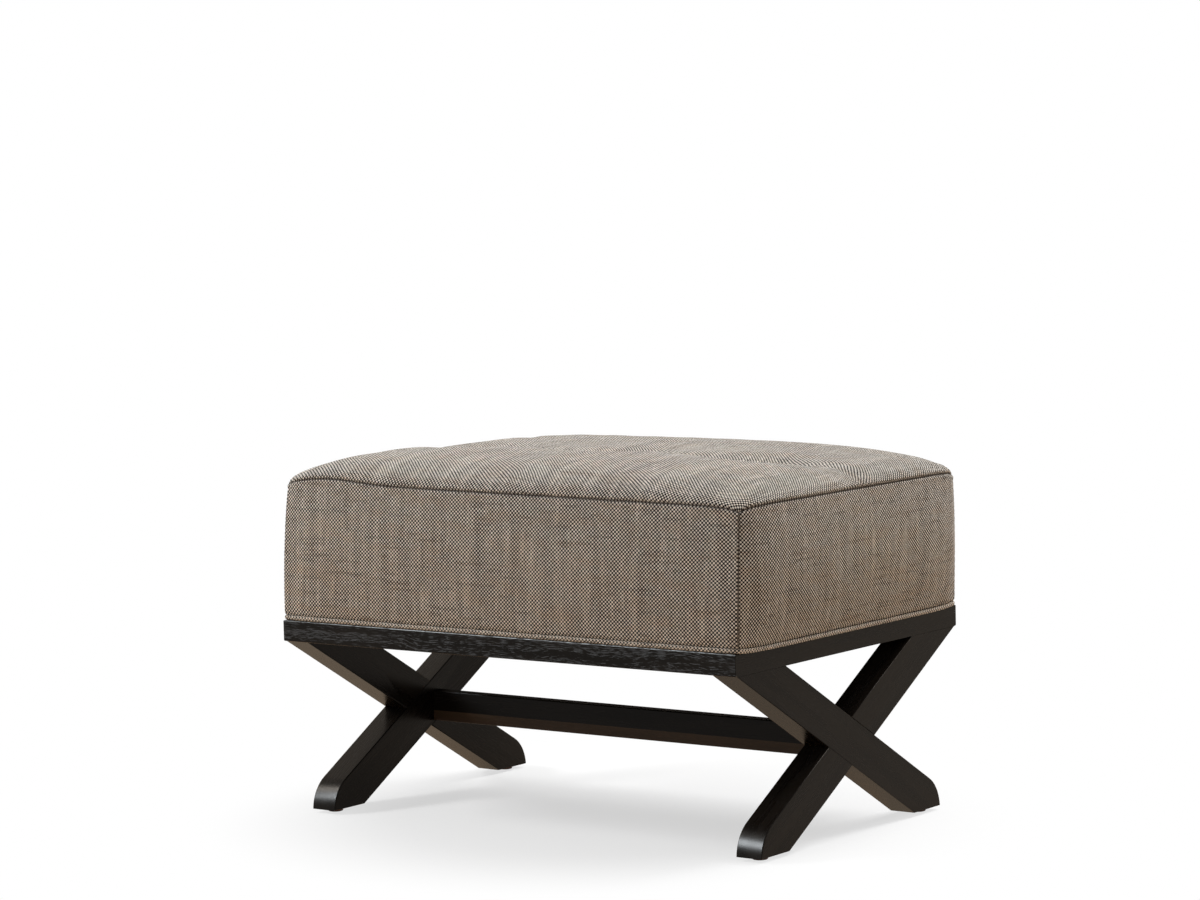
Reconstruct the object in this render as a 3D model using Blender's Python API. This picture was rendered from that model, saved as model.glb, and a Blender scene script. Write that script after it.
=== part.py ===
"""An upholstered ottoman on an oak base with crossed legs.

X runs along the long side, Y from front to back and Z up, with the floor at Z = 0. All lengths are in metres.
"""

from math import asin, atan2, copysign, cos, exp, hypot, pi, radians, sin, tan

import bmesh
import bpy
from mathutils import Vector

# Play between pieces that touch
GAP = 0.0003

# Oak base
LENGTH = 0.700
DEPTH = 0.500
RAIL_BOTTOM = 0.230
RAIL_HEIGHT = 0.027
RAIL_WIDTH = 0.037
EDGE_EASE = 0.0012

# Crossed legs
LEG_WIDTH = 0.052
LEG_RISE = 0.002
FOOT_SETBACK = 0.1068
TOE_SETBACK = 0.046
TOE_RADIUS = 0.048
TOE_STEPS = 9
LEG_TENON_LENGTH = 0.060
LEG_TENON_THICKNESS = 0.012
LEG_TENON_HEIGHT = 0.016

# Stretcher between the two crossings
STRETCHER_HEIGHT = 0.040
STRETCHER_THICKNESS = 0.018
STRETCHER_CENTRE_Y = 0.014
STRETCHER_DROP = 0.0041
STRETCHER_TENON_HEIGHT = 0.022
STRETCHER_TENON_THICKNESS = 0.010
STRETCHER_TENON_LENGTH = 0.012

# Nail-on glides
GLIDE_HEIGHT = 0.005
GLIDE_RADIUS = 0.0098
GLIDE_ROUNDING = 0.0012
GLIDE_NAIL_RADIUS = 0.0013
GLIDE_NAIL_LENGTH = 0.014
GLIDE_SETBACK = 0.070

# Corner blocks and the screws that hold the seat down
BLOCK_LEG = 0.075
BLOCK_HEIGHT = 0.022
SCREW_INSET = 0.055
SCREW_RADIUS = 0.0022
SCREW_HEAD_RADIUS = 0.0048
SCREW_HEAD_HEIGHT = 0.0024
SCREW_BITE = 0.026

# Seat box
DUST_COVER_THICKNESS = 0.0006
BOARD_SETBACK = 0.0150
BOARD_THICKNESS = 0.018
BOARD_HEIGHT = 0.085
POST_SIDE = 0.040

# Webbing and hessian
STRAP_WIDTH = 0.050
STRAP_THICKNESS = 0.0012
CROSS_STRAPS = 4
LONG_STRAPS = 3
STRAP_SLOPE = 0.012
HESSIAN_THICKNESS = 0.0009

# Cover, padding and foam
COVER_THICKNESS = 0.0016
SEAM_HEIGHT = 0.433
COVER_DRAW_IN = 0.003
COVER_LEAN_X = 0.0045
COVER_LEAN_Y = 0.0025
CORNER_RADIUS_LOW = 0.003
CORNER_RADIUS_TOP = 0.010
CROWN_HEIGHT = 0.048
CROWN_FULLNESS = 0.56
TUFT_SPACING = 0.210
TUFTS = 3
TUFT_DEPTH = 0.012
TUFT_SPREAD = 0.042
CHANNEL_DEPTH = 0.004
CHANNEL_SPREAD = 0.050
TWINE_RADIUS = 0.0010

# Welt round the bottom of the cover
WELT_DIAMETER = 0.006
WELT_PROUD = 0.0008

# Heights and setbacks that follow from the sizes above
FRAME_TOP = RAIL_BOTTOM + RAIL_HEIGHT
FOOT_BOTTOM = GLIDE_HEIGHT
HALF_LENGTH = LENGTH / 2
HALF_DEPTH = DEPTH / 2
BOARD_BOTTOM = FRAME_TOP + GAP + DUST_COVER_THICKNESS + GAP
BOARD_TOP = BOARD_BOTTOM + BOARD_HEIGHT
STRAP_LEVEL = BOARD_TOP + GAP + STRAP_THICKNESS / 2
STRAP_SWING = (STRAP_THICKNESS + GAP) / 2
HESSIAN_BOTTOM = STRAP_LEVEL + STRAP_SWING + STRAP_THICKNESS / 2 + GAP
FOAM_BOTTOM = HESSIAN_BOTTOM + HESSIAN_THICKNESS + GAP
COVER_BOTTOM = FRAME_TOP + GAP + WELT_DIAMETER + GAP
TOE_Y = HALF_DEPTH - TOE_SETBACK
GLIDE_Y = HALF_DEPTH - GLIDE_SETBACK
LEG_THICKNESS = RAIL_WIDTH
LEG_X = HALF_LENGTH - LEG_THICKNESS / 2
INNER_FACE_X = HALF_LENGTH - LEG_THICKNESS
LEG_ANGLE = atan2(RAIL_BOTTOM + LEG_RISE - FOOT_BOTTOM, DEPTH - FOOT_SETBACK)
SLOPE = tan(LEG_ANGLE)
LEG_BAND = LEG_WIDTH / cos(LEG_ANGLE)
CROSSING_HEIGHT = RAIL_BOTTOM + LEG_RISE - SLOPE * HALF_DEPTH + LEG_BAND / 2
STRETCHER_CENTRE_Z = CROSSING_HEIGHT - STRETCHER_DROP


def material(name, colour, roughness, metallic=0.0):
    """A Principled material with one colour."""
    made = bpy.data.materials.new(name)
    made.use_nodes = True
    shader = made.node_tree.nodes["Principled BSDF"]
    shader.inputs["Base Color"].default_value = (*colour, 1.0)
    shader.inputs["Roughness"].default_value = roughness
    shader.inputs["Metallic"].default_value = metallic
    made.diffuse_color = (*colour, 1.0)
    return made


def add_object(name, bm, origin, surface, smooth=False, helper=False):
    """Makes an object of this mesh, whose points are in world space, with its own origin."""
    bmesh.ops.recalc_face_normals(bm, faces=bm.faces)
    bmesh.ops.translate(bm, verts=bm.verts, vec=-Vector(origin))
    mesh = bpy.data.meshes.new(name)
    bm.to_mesh(mesh)
    bm.free()
    obj = bpy.data.objects.new(name, mesh)
    obj.location = origin
    bpy.context.scene.collection.objects.link(obj)
    if surface:
        mesh.materials.append(surface)
    if smooth:
        mesh.polygons.foreach_set("use_smooth", [True] * len(mesh.polygons))
        mesh.set_sharp_from_angle(angle=radians(40))
    if helper:
        obj.hide_render = True
        obj.display_type = "WIRE"
    return obj


def box(low, high):
    """A mesh holding one box."""
    bm = bmesh.new()
    bmesh.ops.create_cube(bm, size=1.0)
    low, high = Vector(low), Vector(high)
    for vert in bm.verts:
        vert.co = [low[i] + (vert.co[i] + 0.5) * (high[i] - low[i]) for i in range(3)]
    return bm


def prism(outline, axis, start, end):
    """A mesh holding this outline drawn out along an axis. Outline points list the other two axes in order."""
    bm = bmesh.new()
    rings = []
    for level in (start, end):
        ring = []
        for point in outline:
            place = list(point)
            place.insert(axis, level)
            ring.append(bm.verts.new(place))
        rings.append(ring)
    bm.faces.new(rings[0])
    bm.faces.new(rings[1])
    for i in range(len(outline)):
        j = (i + 1) % len(outline)
        bm.faces.new((rings[0][i], rings[0][j], rings[1][j], rings[1][i]))
    return bm


def loft(rings):
    """A mesh through closed rings with equal counts of points, with a face over each end."""
    bm = bmesh.new()
    made = [[bm.verts.new(point) for point in ring] for ring in rings]
    count = len(made[0])
    for near, far in zip(made, made[1:]):
        for i in range(count):
            j = (i + 1) % count
            bm.faces.new((near[i], near[j], far[j], far[i]))
    bm.faces.new(made[0])
    bm.faces.new(made[-1])
    return bm


def revolve(profile, centre, steps=20):
    """A mesh turned about the upright axis through centre from (radius, height) points that end on the axis."""
    bm = bmesh.new()
    verts = [bm.verts.new((radius, 0.0, height)) for radius, height in profile]
    edges = [bm.edges.new(pair) for pair in zip(verts, verts[1:])]
    bmesh.ops.spin(
        bm, geom=verts + edges, axis=(0, 0, 1), cent=(0, 0, 0), angle=2 * pi, steps=steps
    )
    bmesh.ops.remove_doubles(bm, verts=bm.verts, dist=1e-6)
    bmesh.ops.translate(bm, verts=bm.verts, vec=centre)
    return bm


def cylinder(centre, radius, low, high, steps=16):
    """A mesh holding one upright cylinder."""
    profile = [(0.0, low), (radius, low), (radius, high), (0.0, high)]
    return revolve(profile, (centre[0], centre[1], 0.0), steps)


def cut(obj, bm):
    """Takes this mesh's shape away from the object."""
    combine(obj, bm, "DIFFERENCE")


def join(obj, bm):
    """Adds this mesh's shape to the object."""
    combine(obj, bm, "UNION")


def combine(obj, bm, operation):
    """Puts a Boolean on the object with a hidden helper made of this mesh."""
    step = len(obj.modifiers) + 1
    helper = add_object(f"{obj.name}_{operation.lower()}_{step}", bm, (0, 0, 0), None, helper=True)
    modifier = obj.modifiers.new(f"{operation.title()} {step}", "BOOLEAN")
    modifier.operation = operation
    modifier.solver = "EXACT"
    modifier.object = helper


def ease(bm, wanted):
    """Rounds the edges that the test picks, as a few strokes of sandpaper do."""
    edges = [edge for edge in bm.edges if wanted(edge)]
    bmesh.ops.bevel(bm, geom=edges, offset=EDGE_EASE, segments=2, profile=0.5, affect="EDGES")


def slice_off(bm, point, normal):
    """Cuts the mesh with a plane and throws away what lies on the side that the normal points to."""
    geometry = bm.verts[:] + bm.edges[:] + bm.faces[:]
    made = bmesh.ops.bisect_plane(
        bm, geom=geometry, plane_co=point, plane_no=normal, clear_outer=True
    )
    rim = [part for part in made["geom_cut"] if isinstance(part, bmesh.types.BMEdge)]
    bmesh.ops.edgenet_fill(bm, edges=rim)


# Oak base


def leg_edge(y):
    """Height of the outer edge of a leg that falls towards the back."""
    return RAIL_BOTTOM + LEG_RISE - SLOPE * (y + HALF_DEPTH)


def leg_outline():
    """Outline in (Y, Z) of a leg that falls towards the back: top cut, upper edge, rounded toe, foot, lower edge."""
    top = RAIL_BOTTOM - GAP
    outer_y = (RAIL_BOTTOM + LEG_RISE - top) / SLOPE - HALF_DEPTH
    inner_y = outer_y + LEG_BAND / SLOPE
    foot_y = (RAIL_BOTTOM + LEG_RISE - FOOT_BOTTOM) / SLOPE - HALF_DEPTH
    toe_y = TOE_Y - TOE_RADIUS
    toe_z = leg_edge(toe_y) + LEG_BAND - TOE_RADIUS / cos(LEG_ANGLE)
    first = pi / 2 - LEG_ANGLE
    last = asin((FOOT_BOTTOM - toe_z) / TOE_RADIUS)
    outline = [(outer_y, top), (inner_y, top)]
    for i in range(TOE_STEPS + 1):
        angle = first + (last - first) * i / TOE_STEPS
        outline.append((toe_y + TOE_RADIUS * cos(angle), toe_z + TOE_RADIUS * sin(angle)))
    outline.append((foot_y, FOOT_BOTTOM))
    return outline


def leg_tenon_centre():
    """Y of the middle of the top cut of a leg that falls towards the back."""
    return (LEG_RISE + LEG_BAND / 2) / SLOPE - HALF_DEPTH


def leg_tenon(side, fall, play):
    """The tongue on a leg's top, or with play the mortise that it goes into."""
    y = fall * leg_tenon_centre()
    half_y = LEG_TENON_LENGTH / 2 + play
    half_x = LEG_TENON_THICKNESS / 2 + play
    low = RAIL_BOTTOM - (0.004 if play == 0 else 0.002)
    high = RAIL_BOTTOM + LEG_TENON_HEIGHT + play
    x = side * LEG_X
    return box((x - half_x, y - half_y, low), (x + half_x, y + half_y, high))


def lap_band(fall, play):
    """Outline in (Y, Z) of the straight run of the other leg through the crossing, with play on both edges."""
    reach = LEG_WIDTH * 1.6
    low = play / cos(LEG_ANGLE)
    points = []
    for y, lift in ((-reach, -low), (reach, -low), (reach, LEG_BAND + low), (-reach, LEG_BAND + low)):
        points.append((y, leg_edge(fall * y) + lift))
    return points


def make_leg(name, side, fall, surface):
    """One leg. Its fall is 1 when the foot is at the back, and -1 when it is at the front."""
    outline = [(fall * y, z) for y, z in leg_outline()]
    inner, outer = side * INNER_FACE_X, side * HALF_LENGTH
    bm = prism(outline, 0, inner, outer)
    top = RAIL_BOTTOM - GAP

    def along_a_face(edge):
        a, b = (vert.co for vert in edge.verts)
        return abs(a.x - b.x) < 1e-6 and not (abs(a.z - top) < 1e-6 and abs(b.z - top) < 1e-6)

    bmesh.ops.recalc_face_normals(bm, faces=bm.faces)
    ease(bm, along_a_face)
    obj = add_object(name, bm, (side * LEG_X, 0.0, CROSSING_HEIGHT), surface, smooth=True)
    join(obj, leg_tenon(side, fall, 0.0))
    middle = side * LEG_X
    past = side * (LEG_THICKNESS / 2 + 0.005)
    if fall > 0:
        cut(obj, prism(lap_band(-1, GAP / 2), 0, middle - past, middle + side * GAP / 2))
    else:
        cut(obj, prism(lap_band(1, GAP / 2), 0, middle - side * GAP / 2, middle + past))
        cut(obj, stretcher_mortise(side))
    nail_hole = cylinder(
        (side * LEG_X, fall * GLIDE_Y), GLIDE_NAIL_RADIUS + GAP, FOOT_BOTTOM - 0.002,
        FOOT_BOTTOM + GLIDE_NAIL_LENGTH + GAP,
    )
    cut(obj, nail_hole)
    return obj


def stretcher_mortise(side):
    """The hole in the inner half of a crossing for the stretcher's tenon."""
    half_y = STRETCHER_TENON_THICKNESS / 2 + GAP
    half_z = STRETCHER_TENON_HEIGHT / 2 + GAP
    ends = sorted((side * (INNER_FACE_X - 0.002), side * (INNER_FACE_X + STRETCHER_TENON_LENGTH + GAP)))
    return box(
        (ends[0], STRETCHER_CENTRE_Y - half_y, STRETCHER_CENTRE_Z - half_z),
        (ends[1], STRETCHER_CENTRE_Y + half_y, STRETCHER_CENTRE_Z + half_z),
    )


def make_stretcher(surface):
    """The bar between the crossings, with a tenon at each end."""
    shoulder = INNER_FACE_X - GAP
    half_y, half_z = STRETCHER_THICKNESS / 2, STRETCHER_HEIGHT / 2
    bm = box(
        (-shoulder, STRETCHER_CENTRE_Y - half_y, STRETCHER_CENTRE_Z - half_z),
        (shoulder, STRETCHER_CENTRE_Y + half_y, STRETCHER_CENTRE_Z + half_z),
    )
    bmesh.ops.recalc_face_normals(bm, faces=bm.faces)
    ease(bm, lambda edge: abs(edge.verts[0].co.x - edge.verts[1].co.x) > 0.1)
    obj = add_object("stretcher", bm, (0.0, STRETCHER_CENTRE_Y, STRETCHER_CENTRE_Z), surface, smooth=True)
    tongue_y, tongue_z = STRETCHER_TENON_THICKNESS / 2, STRETCHER_TENON_HEIGHT / 2
    for side in (-1, 1):
        ends = sorted((side * (shoulder - 0.004), side * (INNER_FACE_X + STRETCHER_TENON_LENGTH)))
        tongue = box(
            (ends[0], STRETCHER_CENTRE_Y - tongue_y, STRETCHER_CENTRE_Z - tongue_z),
            (ends[1], STRETCHER_CENTRE_Y + tongue_y, STRETCHER_CENTRE_Z + tongue_z),
        )
        join(obj, tongue)
    return obj


def long_rail(name, face, surface):
    """The front or back rail, mitred at both ends. The face is -1 at the front and 1 at the back."""
    outer, inner = face * HALF_DEPTH, face * (HALF_DEPTH - RAIL_WIDTH)
    reach = HALF_LENGTH - GAP * 0.75
    outline = [(-reach, outer), (reach, outer), (reach - RAIL_WIDTH, inner), (-reach + RAIL_WIDTH, inner)]
    bm = prism(outline, 2, RAIL_BOTTOM, FRAME_TOP)
    bmesh.ops.recalc_face_normals(bm, faces=bm.faces)

    def outside_edge(edge):
        a, b = (vert.co for vert in edge.verts)
        return abs(a.y - b.y) < 1e-6 and abs(a.x - b.x) > 0.1

    ease(bm, outside_edge)
    return add_object(name, bm, (0.0, face * (HALF_DEPTH - RAIL_WIDTH / 2), RAIL_BOTTOM), surface, smooth=True)


def end_rail(name, side, surface):
    """The left or right rail, mitred at both ends, with its lower corners cut in line with the legs."""
    notch = LEG_RISE / SLOPE
    outline = [
        (-HALF_DEPTH, RAIL_BOTTOM + LEG_RISE),
        (-HALF_DEPTH + notch, RAIL_BOTTOM),
        (HALF_DEPTH - notch, RAIL_BOTTOM),
        (HALF_DEPTH, RAIL_BOTTOM + LEG_RISE),
        (HALF_DEPTH, FRAME_TOP),
        (-HALF_DEPTH, FRAME_TOP),
    ]
    outer, inner = side * HALF_LENGTH, side * (HALF_LENGTH - RAIL_WIDTH)
    bm = prism(outline, 0, inner, outer)
    bmesh.ops.recalc_face_normals(bm, faces=bm.faces)
    for face in (-1, 1):
        corner = Vector((outer, face * (HALF_DEPTH - GAP * 0.75), 0.0))
        slice_off(bm, corner, Vector((-side, face, 0.0)))
    bmesh.ops.recalc_face_normals(bm, faces=bm.faces)

    def top_edge(edge):
        a, b = (vert.co for vert in edge.verts)
        high = min(a.z, b.z) > FRAME_TOP - 1e-6
        return high and abs(a.x - b.x) < 1e-6

    ease(bm, top_edge)
    obj = add_object(name, bm, (side * (HALF_LENGTH - RAIL_WIDTH / 2), 0.0, RAIL_BOTTOM), surface, smooth=True)
    for fall in (-1, 1):
        cut(obj, leg_tenon(side, fall, GAP))
    return obj


def make_glide(name, side, end, surface):
    """A nail-on glide: a round foot with eased edges and a nail up into the leg."""
    under = GLIDE_HEIGHT - GAP
    profile = [(0.0, 0.0), (GLIDE_RADIUS - 2 * GLIDE_ROUNDING, 0.0)]
    for i in range(4):
        angle = pi / 6 * i
        reach = GLIDE_RADIUS - GLIDE_ROUNDING * (1 - sin(angle)) - GLIDE_ROUNDING * 0.4 * (1 - i / 3)
        profile.append((reach, GLIDE_ROUNDING * (1 - cos(angle)) + 0.0002))
    profile += [(GLIDE_RADIUS, under - 0.0008), (GLIDE_RADIUS - 0.0008, under)]
    nail_top = FOOT_BOTTOM + GLIDE_NAIL_LENGTH
    profile += [(GLIDE_NAIL_RADIUS, under), (GLIDE_NAIL_RADIUS, nail_top - 0.002), (0.0, nail_top)]
    bm = revolve(profile, (side * LEG_X, end * GLIDE_Y, 0.0), steps=24)
    return add_object(name, bm, (side * LEG_X, end * GLIDE_Y, 0.0), surface, smooth=True)


# Seat box


def screw_place(side, face):
    """Where a seat screw stands, in plan."""
    return side * (HALF_LENGTH - SCREW_INSET), face * (HALF_DEPTH - SCREW_INSET)


def make_block(name, side, face, surface):
    """A three-cornered block glued into a corner of the base, level with its top."""
    x = side * (HALF_LENGTH - RAIL_WIDTH - GAP)
    y = face * (HALF_DEPTH - RAIL_WIDTH - GAP)
    outline = [(x, y), (x - side * BLOCK_LEG, y), (x, y - face * BLOCK_LEG)]
    top = FRAME_TOP
    bm = prism(outline, 2, top - BLOCK_HEIGHT, top)
    obj = add_object(name, bm, (x, y, top - BLOCK_HEIGHT), surface)
    hole = cylinder(screw_place(side, face), SCREW_RADIUS + GAP, top - BLOCK_HEIGHT - 0.002, top + 0.002)
    cut(obj, hole)
    return obj


def make_screw(name, side, face, surface):
    """A pan-head screw up through a corner block into the post above it."""
    seat = FRAME_TOP - BLOCK_HEIGHT - GAP
    tip = BOARD_BOTTOM + SCREW_BITE
    profile = [
        (0.0, seat - SCREW_HEAD_HEIGHT),
        (SCREW_HEAD_RADIUS * 0.6, seat - SCREW_HEAD_HEIGHT),
        (SCREW_HEAD_RADIUS * 0.9, seat - SCREW_HEAD_HEIGHT * 0.7),
        (SCREW_HEAD_RADIUS, seat - SCREW_HEAD_HEIGHT * 0.3),
        (SCREW_HEAD_RADIUS, seat),
        (SCREW_RADIUS, seat),
        (SCREW_RADIUS, tip - 0.005),
        (0.0, tip),
    ]
    x, y = screw_place(side, face)
    return add_object(name, revolve(profile, (x, y, 0.0), 16), (x, y, seat), surface, smooth=True)


def make_board(name, low, high, surface):
    """A plain board given by two corners."""
    centre = [(low[i] + high[i]) / 2 for i in range(3)]
    return add_object(name, box(low, high), centre, surface)


def make_seat_box(wood):
    """Four boards with a post in each corner, standing on the base."""
    x = HALF_LENGTH - BOARD_SETBACK
    y = HALF_DEPTH - BOARD_SETBACK
    low, high = BOARD_BOTTOM, BOARD_TOP
    inside_x = x - BOARD_THICKNESS - GAP
    for name, side in (("seat_left_board", -1), ("seat_right_board", 1)):
        a, b = sorted((side * x, side * (x - BOARD_THICKNESS)))
        make_board(name, (a, -y, low), (b, y, high), wood)
    for name, face in (("seat_front_board", -1), ("seat_back_board", 1)):
        a, b = sorted((face * y, face * (y - BOARD_THICKNESS)))
        make_board(name, (-inside_x, a, low), (inside_x, b, high), wood)
    inside_y = y - BOARD_THICKNESS - GAP
    for end, face in (("front", -1), ("back", 1)):
        for hand, side in (("left", -1), ("right", 1)):
            xs = sorted((side * inside_x, side * (inside_x - POST_SIDE)))
            ys = sorted((face * inside_y, face * (inside_y - POST_SIDE)))
            post = make_board(f"seat_post_{end}_{hand}", (xs[0], ys[0], low), (xs[1], ys[1], high), wood)
            pilot = cylinder(screw_place(side, face), SCREW_RADIUS + GAP, low - 0.002, low + SCREW_BITE + GAP)
            cut(post, pilot)


def make_dust_cover(cloth):
    """The thin cloth between the seat box and the base, with a hole for each seat screw."""
    x = HALF_LENGTH - BOARD_SETBACK
    y = HALF_DEPTH - BOARD_SETBACK
    low = FRAME_TOP + GAP
    obj = make_board("dust_cover", (-x, -y, low), (x, y, low + DUST_COVER_THICKNESS), cloth)
    for face in (-1, 1):
        for side in (-1, 1):
            cut(obj, cylinder(screw_place(side, face), SCREW_RADIUS + GAP, low - 0.002, low + 0.003))


# Webbing


def strap_places(count, half_span):
    """Middles of evenly spaced straps across a span."""
    pitch = 2 * half_span / (count + 1)
    return [pitch * (i + 1) - half_span for i in range(count)]


def strap_path(crossings, first_swing, half_run):
    """(distance, height) along a strap that passes over and under the straps at these crossings."""
    path = [(-half_run, STRAP_LEVEL)]
    swing = first_swing
    flat = STRAP_WIDTH / 2 + 0.002
    for place in crossings:
        level = STRAP_LEVEL + swing * STRAP_SWING
        path += [(place - flat - STRAP_SLOPE, STRAP_LEVEL), (place - flat, level)]
        path += [(place + flat, level), (place + flat + STRAP_SLOPE, STRAP_LEVEL)]
        swing = -swing
    path.append((half_run, STRAP_LEVEL))
    return path


def make_straps(jute):
    """Webbing woven over the seat box: straps from front to back, and long ones through them."""
    half_x = HALF_LENGTH - BOARD_SETBACK - 0.001
    half_y = HALF_DEPTH - BOARD_SETBACK - 0.001
    across = strap_places(CROSS_STRAPS, half_x)
    along = strap_places(LONG_STRAPS, half_y)
    half = STRAP_THICKNESS / 2
    for i, x in enumerate(across):
        rings = []
        for y, z in strap_path(along, 1 if i % 2 else -1, half_y):
            low_x, high_x = x - STRAP_WIDTH / 2, x + STRAP_WIDTH / 2
            rings.append([(low_x, y, z - half), (high_x, y, z - half), (high_x, y, z + half), (low_x, y, z + half)])
        add_object(f"webbing_across_{i + 1}", loft(rings), (x, 0.0, STRAP_LEVEL), jute)
    for i, y in enumerate(along):
        rings = []
        for x, z in strap_path(across, -1 if i % 2 else 1, half_x):
            low_y, high_y = y - STRAP_WIDTH / 2, y + STRAP_WIDTH / 2
            rings.append([(x, low_y, z - half), (x, high_y, z - half), (x, high_y, z + half), (x, low_y, z + half)])
        add_object(f"webbing_along_{i + 1}", loft(rings), (0.0, y, STRAP_LEVEL), jute)


# Soft parts


def rise(z):
    """How far up the side of the cover a height is, from 0 at the welt to 1 at the top seam."""
    return (z - COVER_BOTTOM) / (SEAM_HEIGHT - COVER_BOTTOM)


def cover_middle(z):
    """Where the middle of the cover lies in plan at a height: the stuffed top sits a little off the base."""
    share = max(rise(z), 0.0)
    return COVER_LEAN_X * share, COVER_LEAN_Y * share


def cover_halves(z):
    """Half length, half depth and corner radius of the outside of the cover at a height."""
    share = max(rise(z), 0.0)
    inset = COVER_DRAW_IN * share
    radius = CORNER_RADIUS_LOW + (CORNER_RADIUS_TOP - CORNER_RADIUS_LOW) * share
    return HALF_LENGTH - GAP - inset, HALF_DEPTH - GAP - inset, radius


ARC_STEPS = 3
SIDE_STEPS = 10
RISE_STEPS = 8


def side_run(side_name, z, depth, part_gap):
    """Plan points of one side of the cover from corner to corner, set in by a depth from its outside."""
    half_x, half_y, radius = cover_halves(z)
    middle_x, middle_y = cover_middle(z)
    turns = {"front": 0, "right": 1, "back": 2, "left": 3}[side_name]
    run, out = (half_x, half_y) if turns % 2 == 0 else (half_y, half_x)
    points = []
    for i in range(ARC_STEPS + 1):
        angle = radians(225) + radians(45) * i / ARC_STEPS
        points.append((-run + radius, -out + radius, angle))
    for i in range(1, SIDE_STEPS):
        points.append((-run + radius + (run - radius) * 2 * i / SIDE_STEPS, -out + radius, radians(270)))
    for i in range(ARC_STEPS + 1):
        angle = radians(270) + radians(45) * i / ARC_STEPS
        points.append((run - radius, -out + radius, angle))
    placed = []
    for i, (x, y, angle) in enumerate(points):
        reach = radius - depth
        px, py = x + reach * cos(angle), y + reach * sin(angle)
        shift = part_gap if i == 0 else -part_gap if i == len(points) - 1 else 0.0
        px -= shift * sin(angle)
        py += shift * cos(angle)
        for _ in range(turns):
            px, py = -py, px
        placed.append((px + middle_x, py + middle_y))
    return placed


def skin(bm, rows):
    """Adds a grid of points to the mesh as triangles, all split the same way, and gives back its vertices."""
    grid = [[bm.verts.new(point) for point in row] for row in rows]
    for near, far in zip(grid, grid[1:]):
        for i in range(len(near) - 1):
            bm.faces.new((near[i], near[i + 1], far[i + 1]))
            bm.faces.new((near[i], far[i + 1], far[i]))
    return grid


def slab(outer_rows, inner_rows):
    """A mesh between two grids of points of the same size."""
    bm = bmesh.new()
    rims = [rim_of(skin(bm, rows)) for rows in (outer_rows, inner_rows)]
    for i in range(len(rims[0])):
        j = (i + 1) % len(rims[0])
        bm.faces.new((rims[0][i], rims[0][j], rims[1][j], rims[1][i]))
    return bm


def heights(low, high):
    """Evenly spaced heights from low to high."""
    return [low + (high - low) * i / RISE_STEPS for i in range(RISE_STEPS + 1)]


def make_cover_sides(cloth):
    """Four side panels of the cover, sewn together up the corners."""
    for name in ("front", "right", "back", "left"):
        levels = heights(COVER_BOTTOM, SEAM_HEIGHT - GAP)
        outer = [[(x, y, z) for x, y in side_run(name, z, 0.0, GAP / 2)] for z in levels]
        inner = [[(x, y, z) for x, y in side_run(name, z, COVER_THICKNESS, GAP / 2)] for z in levels]
        middle = outer[0][len(outer[0]) // 2]
        add_object(f"cover_{name}", slab(outer, inner), middle, cloth, smooth=True)


def make_side_padding(wadding):
    """Padding between the boards and the side panels of the cover."""
    board_x = HALF_LENGTH - BOARD_SETBACK + GAP
    board_y = HALF_DEPTH - BOARD_SETBACK + GAP
    for name in ("front", "right", "back", "left"):
        levels = heights(COVER_BOTTOM, FOAM_BOTTOM - GAP)
        outer, inner = [], []
        for z in levels:
            run = side_run(name, z, COVER_THICKNESS + GAP, GAP)
            outer.append([(x, y, z) for x, y in run])
            inner.append([against_boards(name, x, y, z, board_x, board_y) for x, y in run])
        middle = inner[0][len(inner[0]) // 2]
        add_object(f"padding_{name}", slab(outer, inner), middle, wadding, smooth=True)


def against_boards(name, x, y, z, board_x, board_y):
    """The point on the outside of the seat box that faces this one, a little short of its corners."""
    short = GAP
    if name in ("front", "back"):
        face = -1 if name == "front" else 1
        return max(-board_x + short, min(board_x - short, x)), face * board_y, z
    side = -1 if name == "left" else 1
    return side * board_x, max(-board_y + short, min(board_y - short, y)), z


def tuft_places():
    """X of each tuft along the middle of the cushion."""
    return [TUFT_SPACING * (i - (TUFTS - 1) / 2) for i in range(TUFTS)]


def crown(share_x, share_y):
    """Height of the stuffed top over its seam, where the shares run from -1 to 1 across the cushion."""
    if abs(share_x) >= 1 or abs(share_y) >= 1:
        return 0.0
    dome = ((1 - share_x**2) * (1 - share_y**2)) ** CROWN_FULLNESS
    x, y = share_x * HALF_LENGTH, share_y * HALF_DEPTH
    dip = CHANNEL_DEPTH * exp(-((y / CHANNEL_SPREAD) ** 2)) * (1 - share_x**4)
    for place in tuft_places():
        dip += TUFT_DEPTH * exp(-((x - place) ** 2 + y**2) / TUFT_SPREAD**2)
    return CROWN_HEIGHT * dome - dip * min(1.0, 3 * dome)


GRID_X = 26
GRID_Y = 18


def plan_point(share_x, share_y, z, set_in):
    """The point of the cover's plan at these shares of its half length and half depth, with its corners rounded."""
    half_x, half_y, radius = cover_halves(z)
    middle_x, middle_y = cover_middle(z)
    x, y = share_x * (half_x - set_in), share_y * (half_y - set_in)
    over_x = abs(x) - (half_x - radius)
    over_y = abs(y) - (half_y - radius)
    if over_x > 0 and over_y > 0:
        pull = max(over_x, over_y) / hypot(over_x, over_y)
        x = copysign(half_x - radius + over_x * pull, x)
        y = copysign(half_y - radius + over_y * pull, y)
    return x + middle_x, y + middle_y


def grid_shares(count):
    """Shares from -1 to 1, closer together towards both ends."""
    return [sin(pi / 2 * (2 * i / count - 1)) for i in range(count + 1)]


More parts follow.
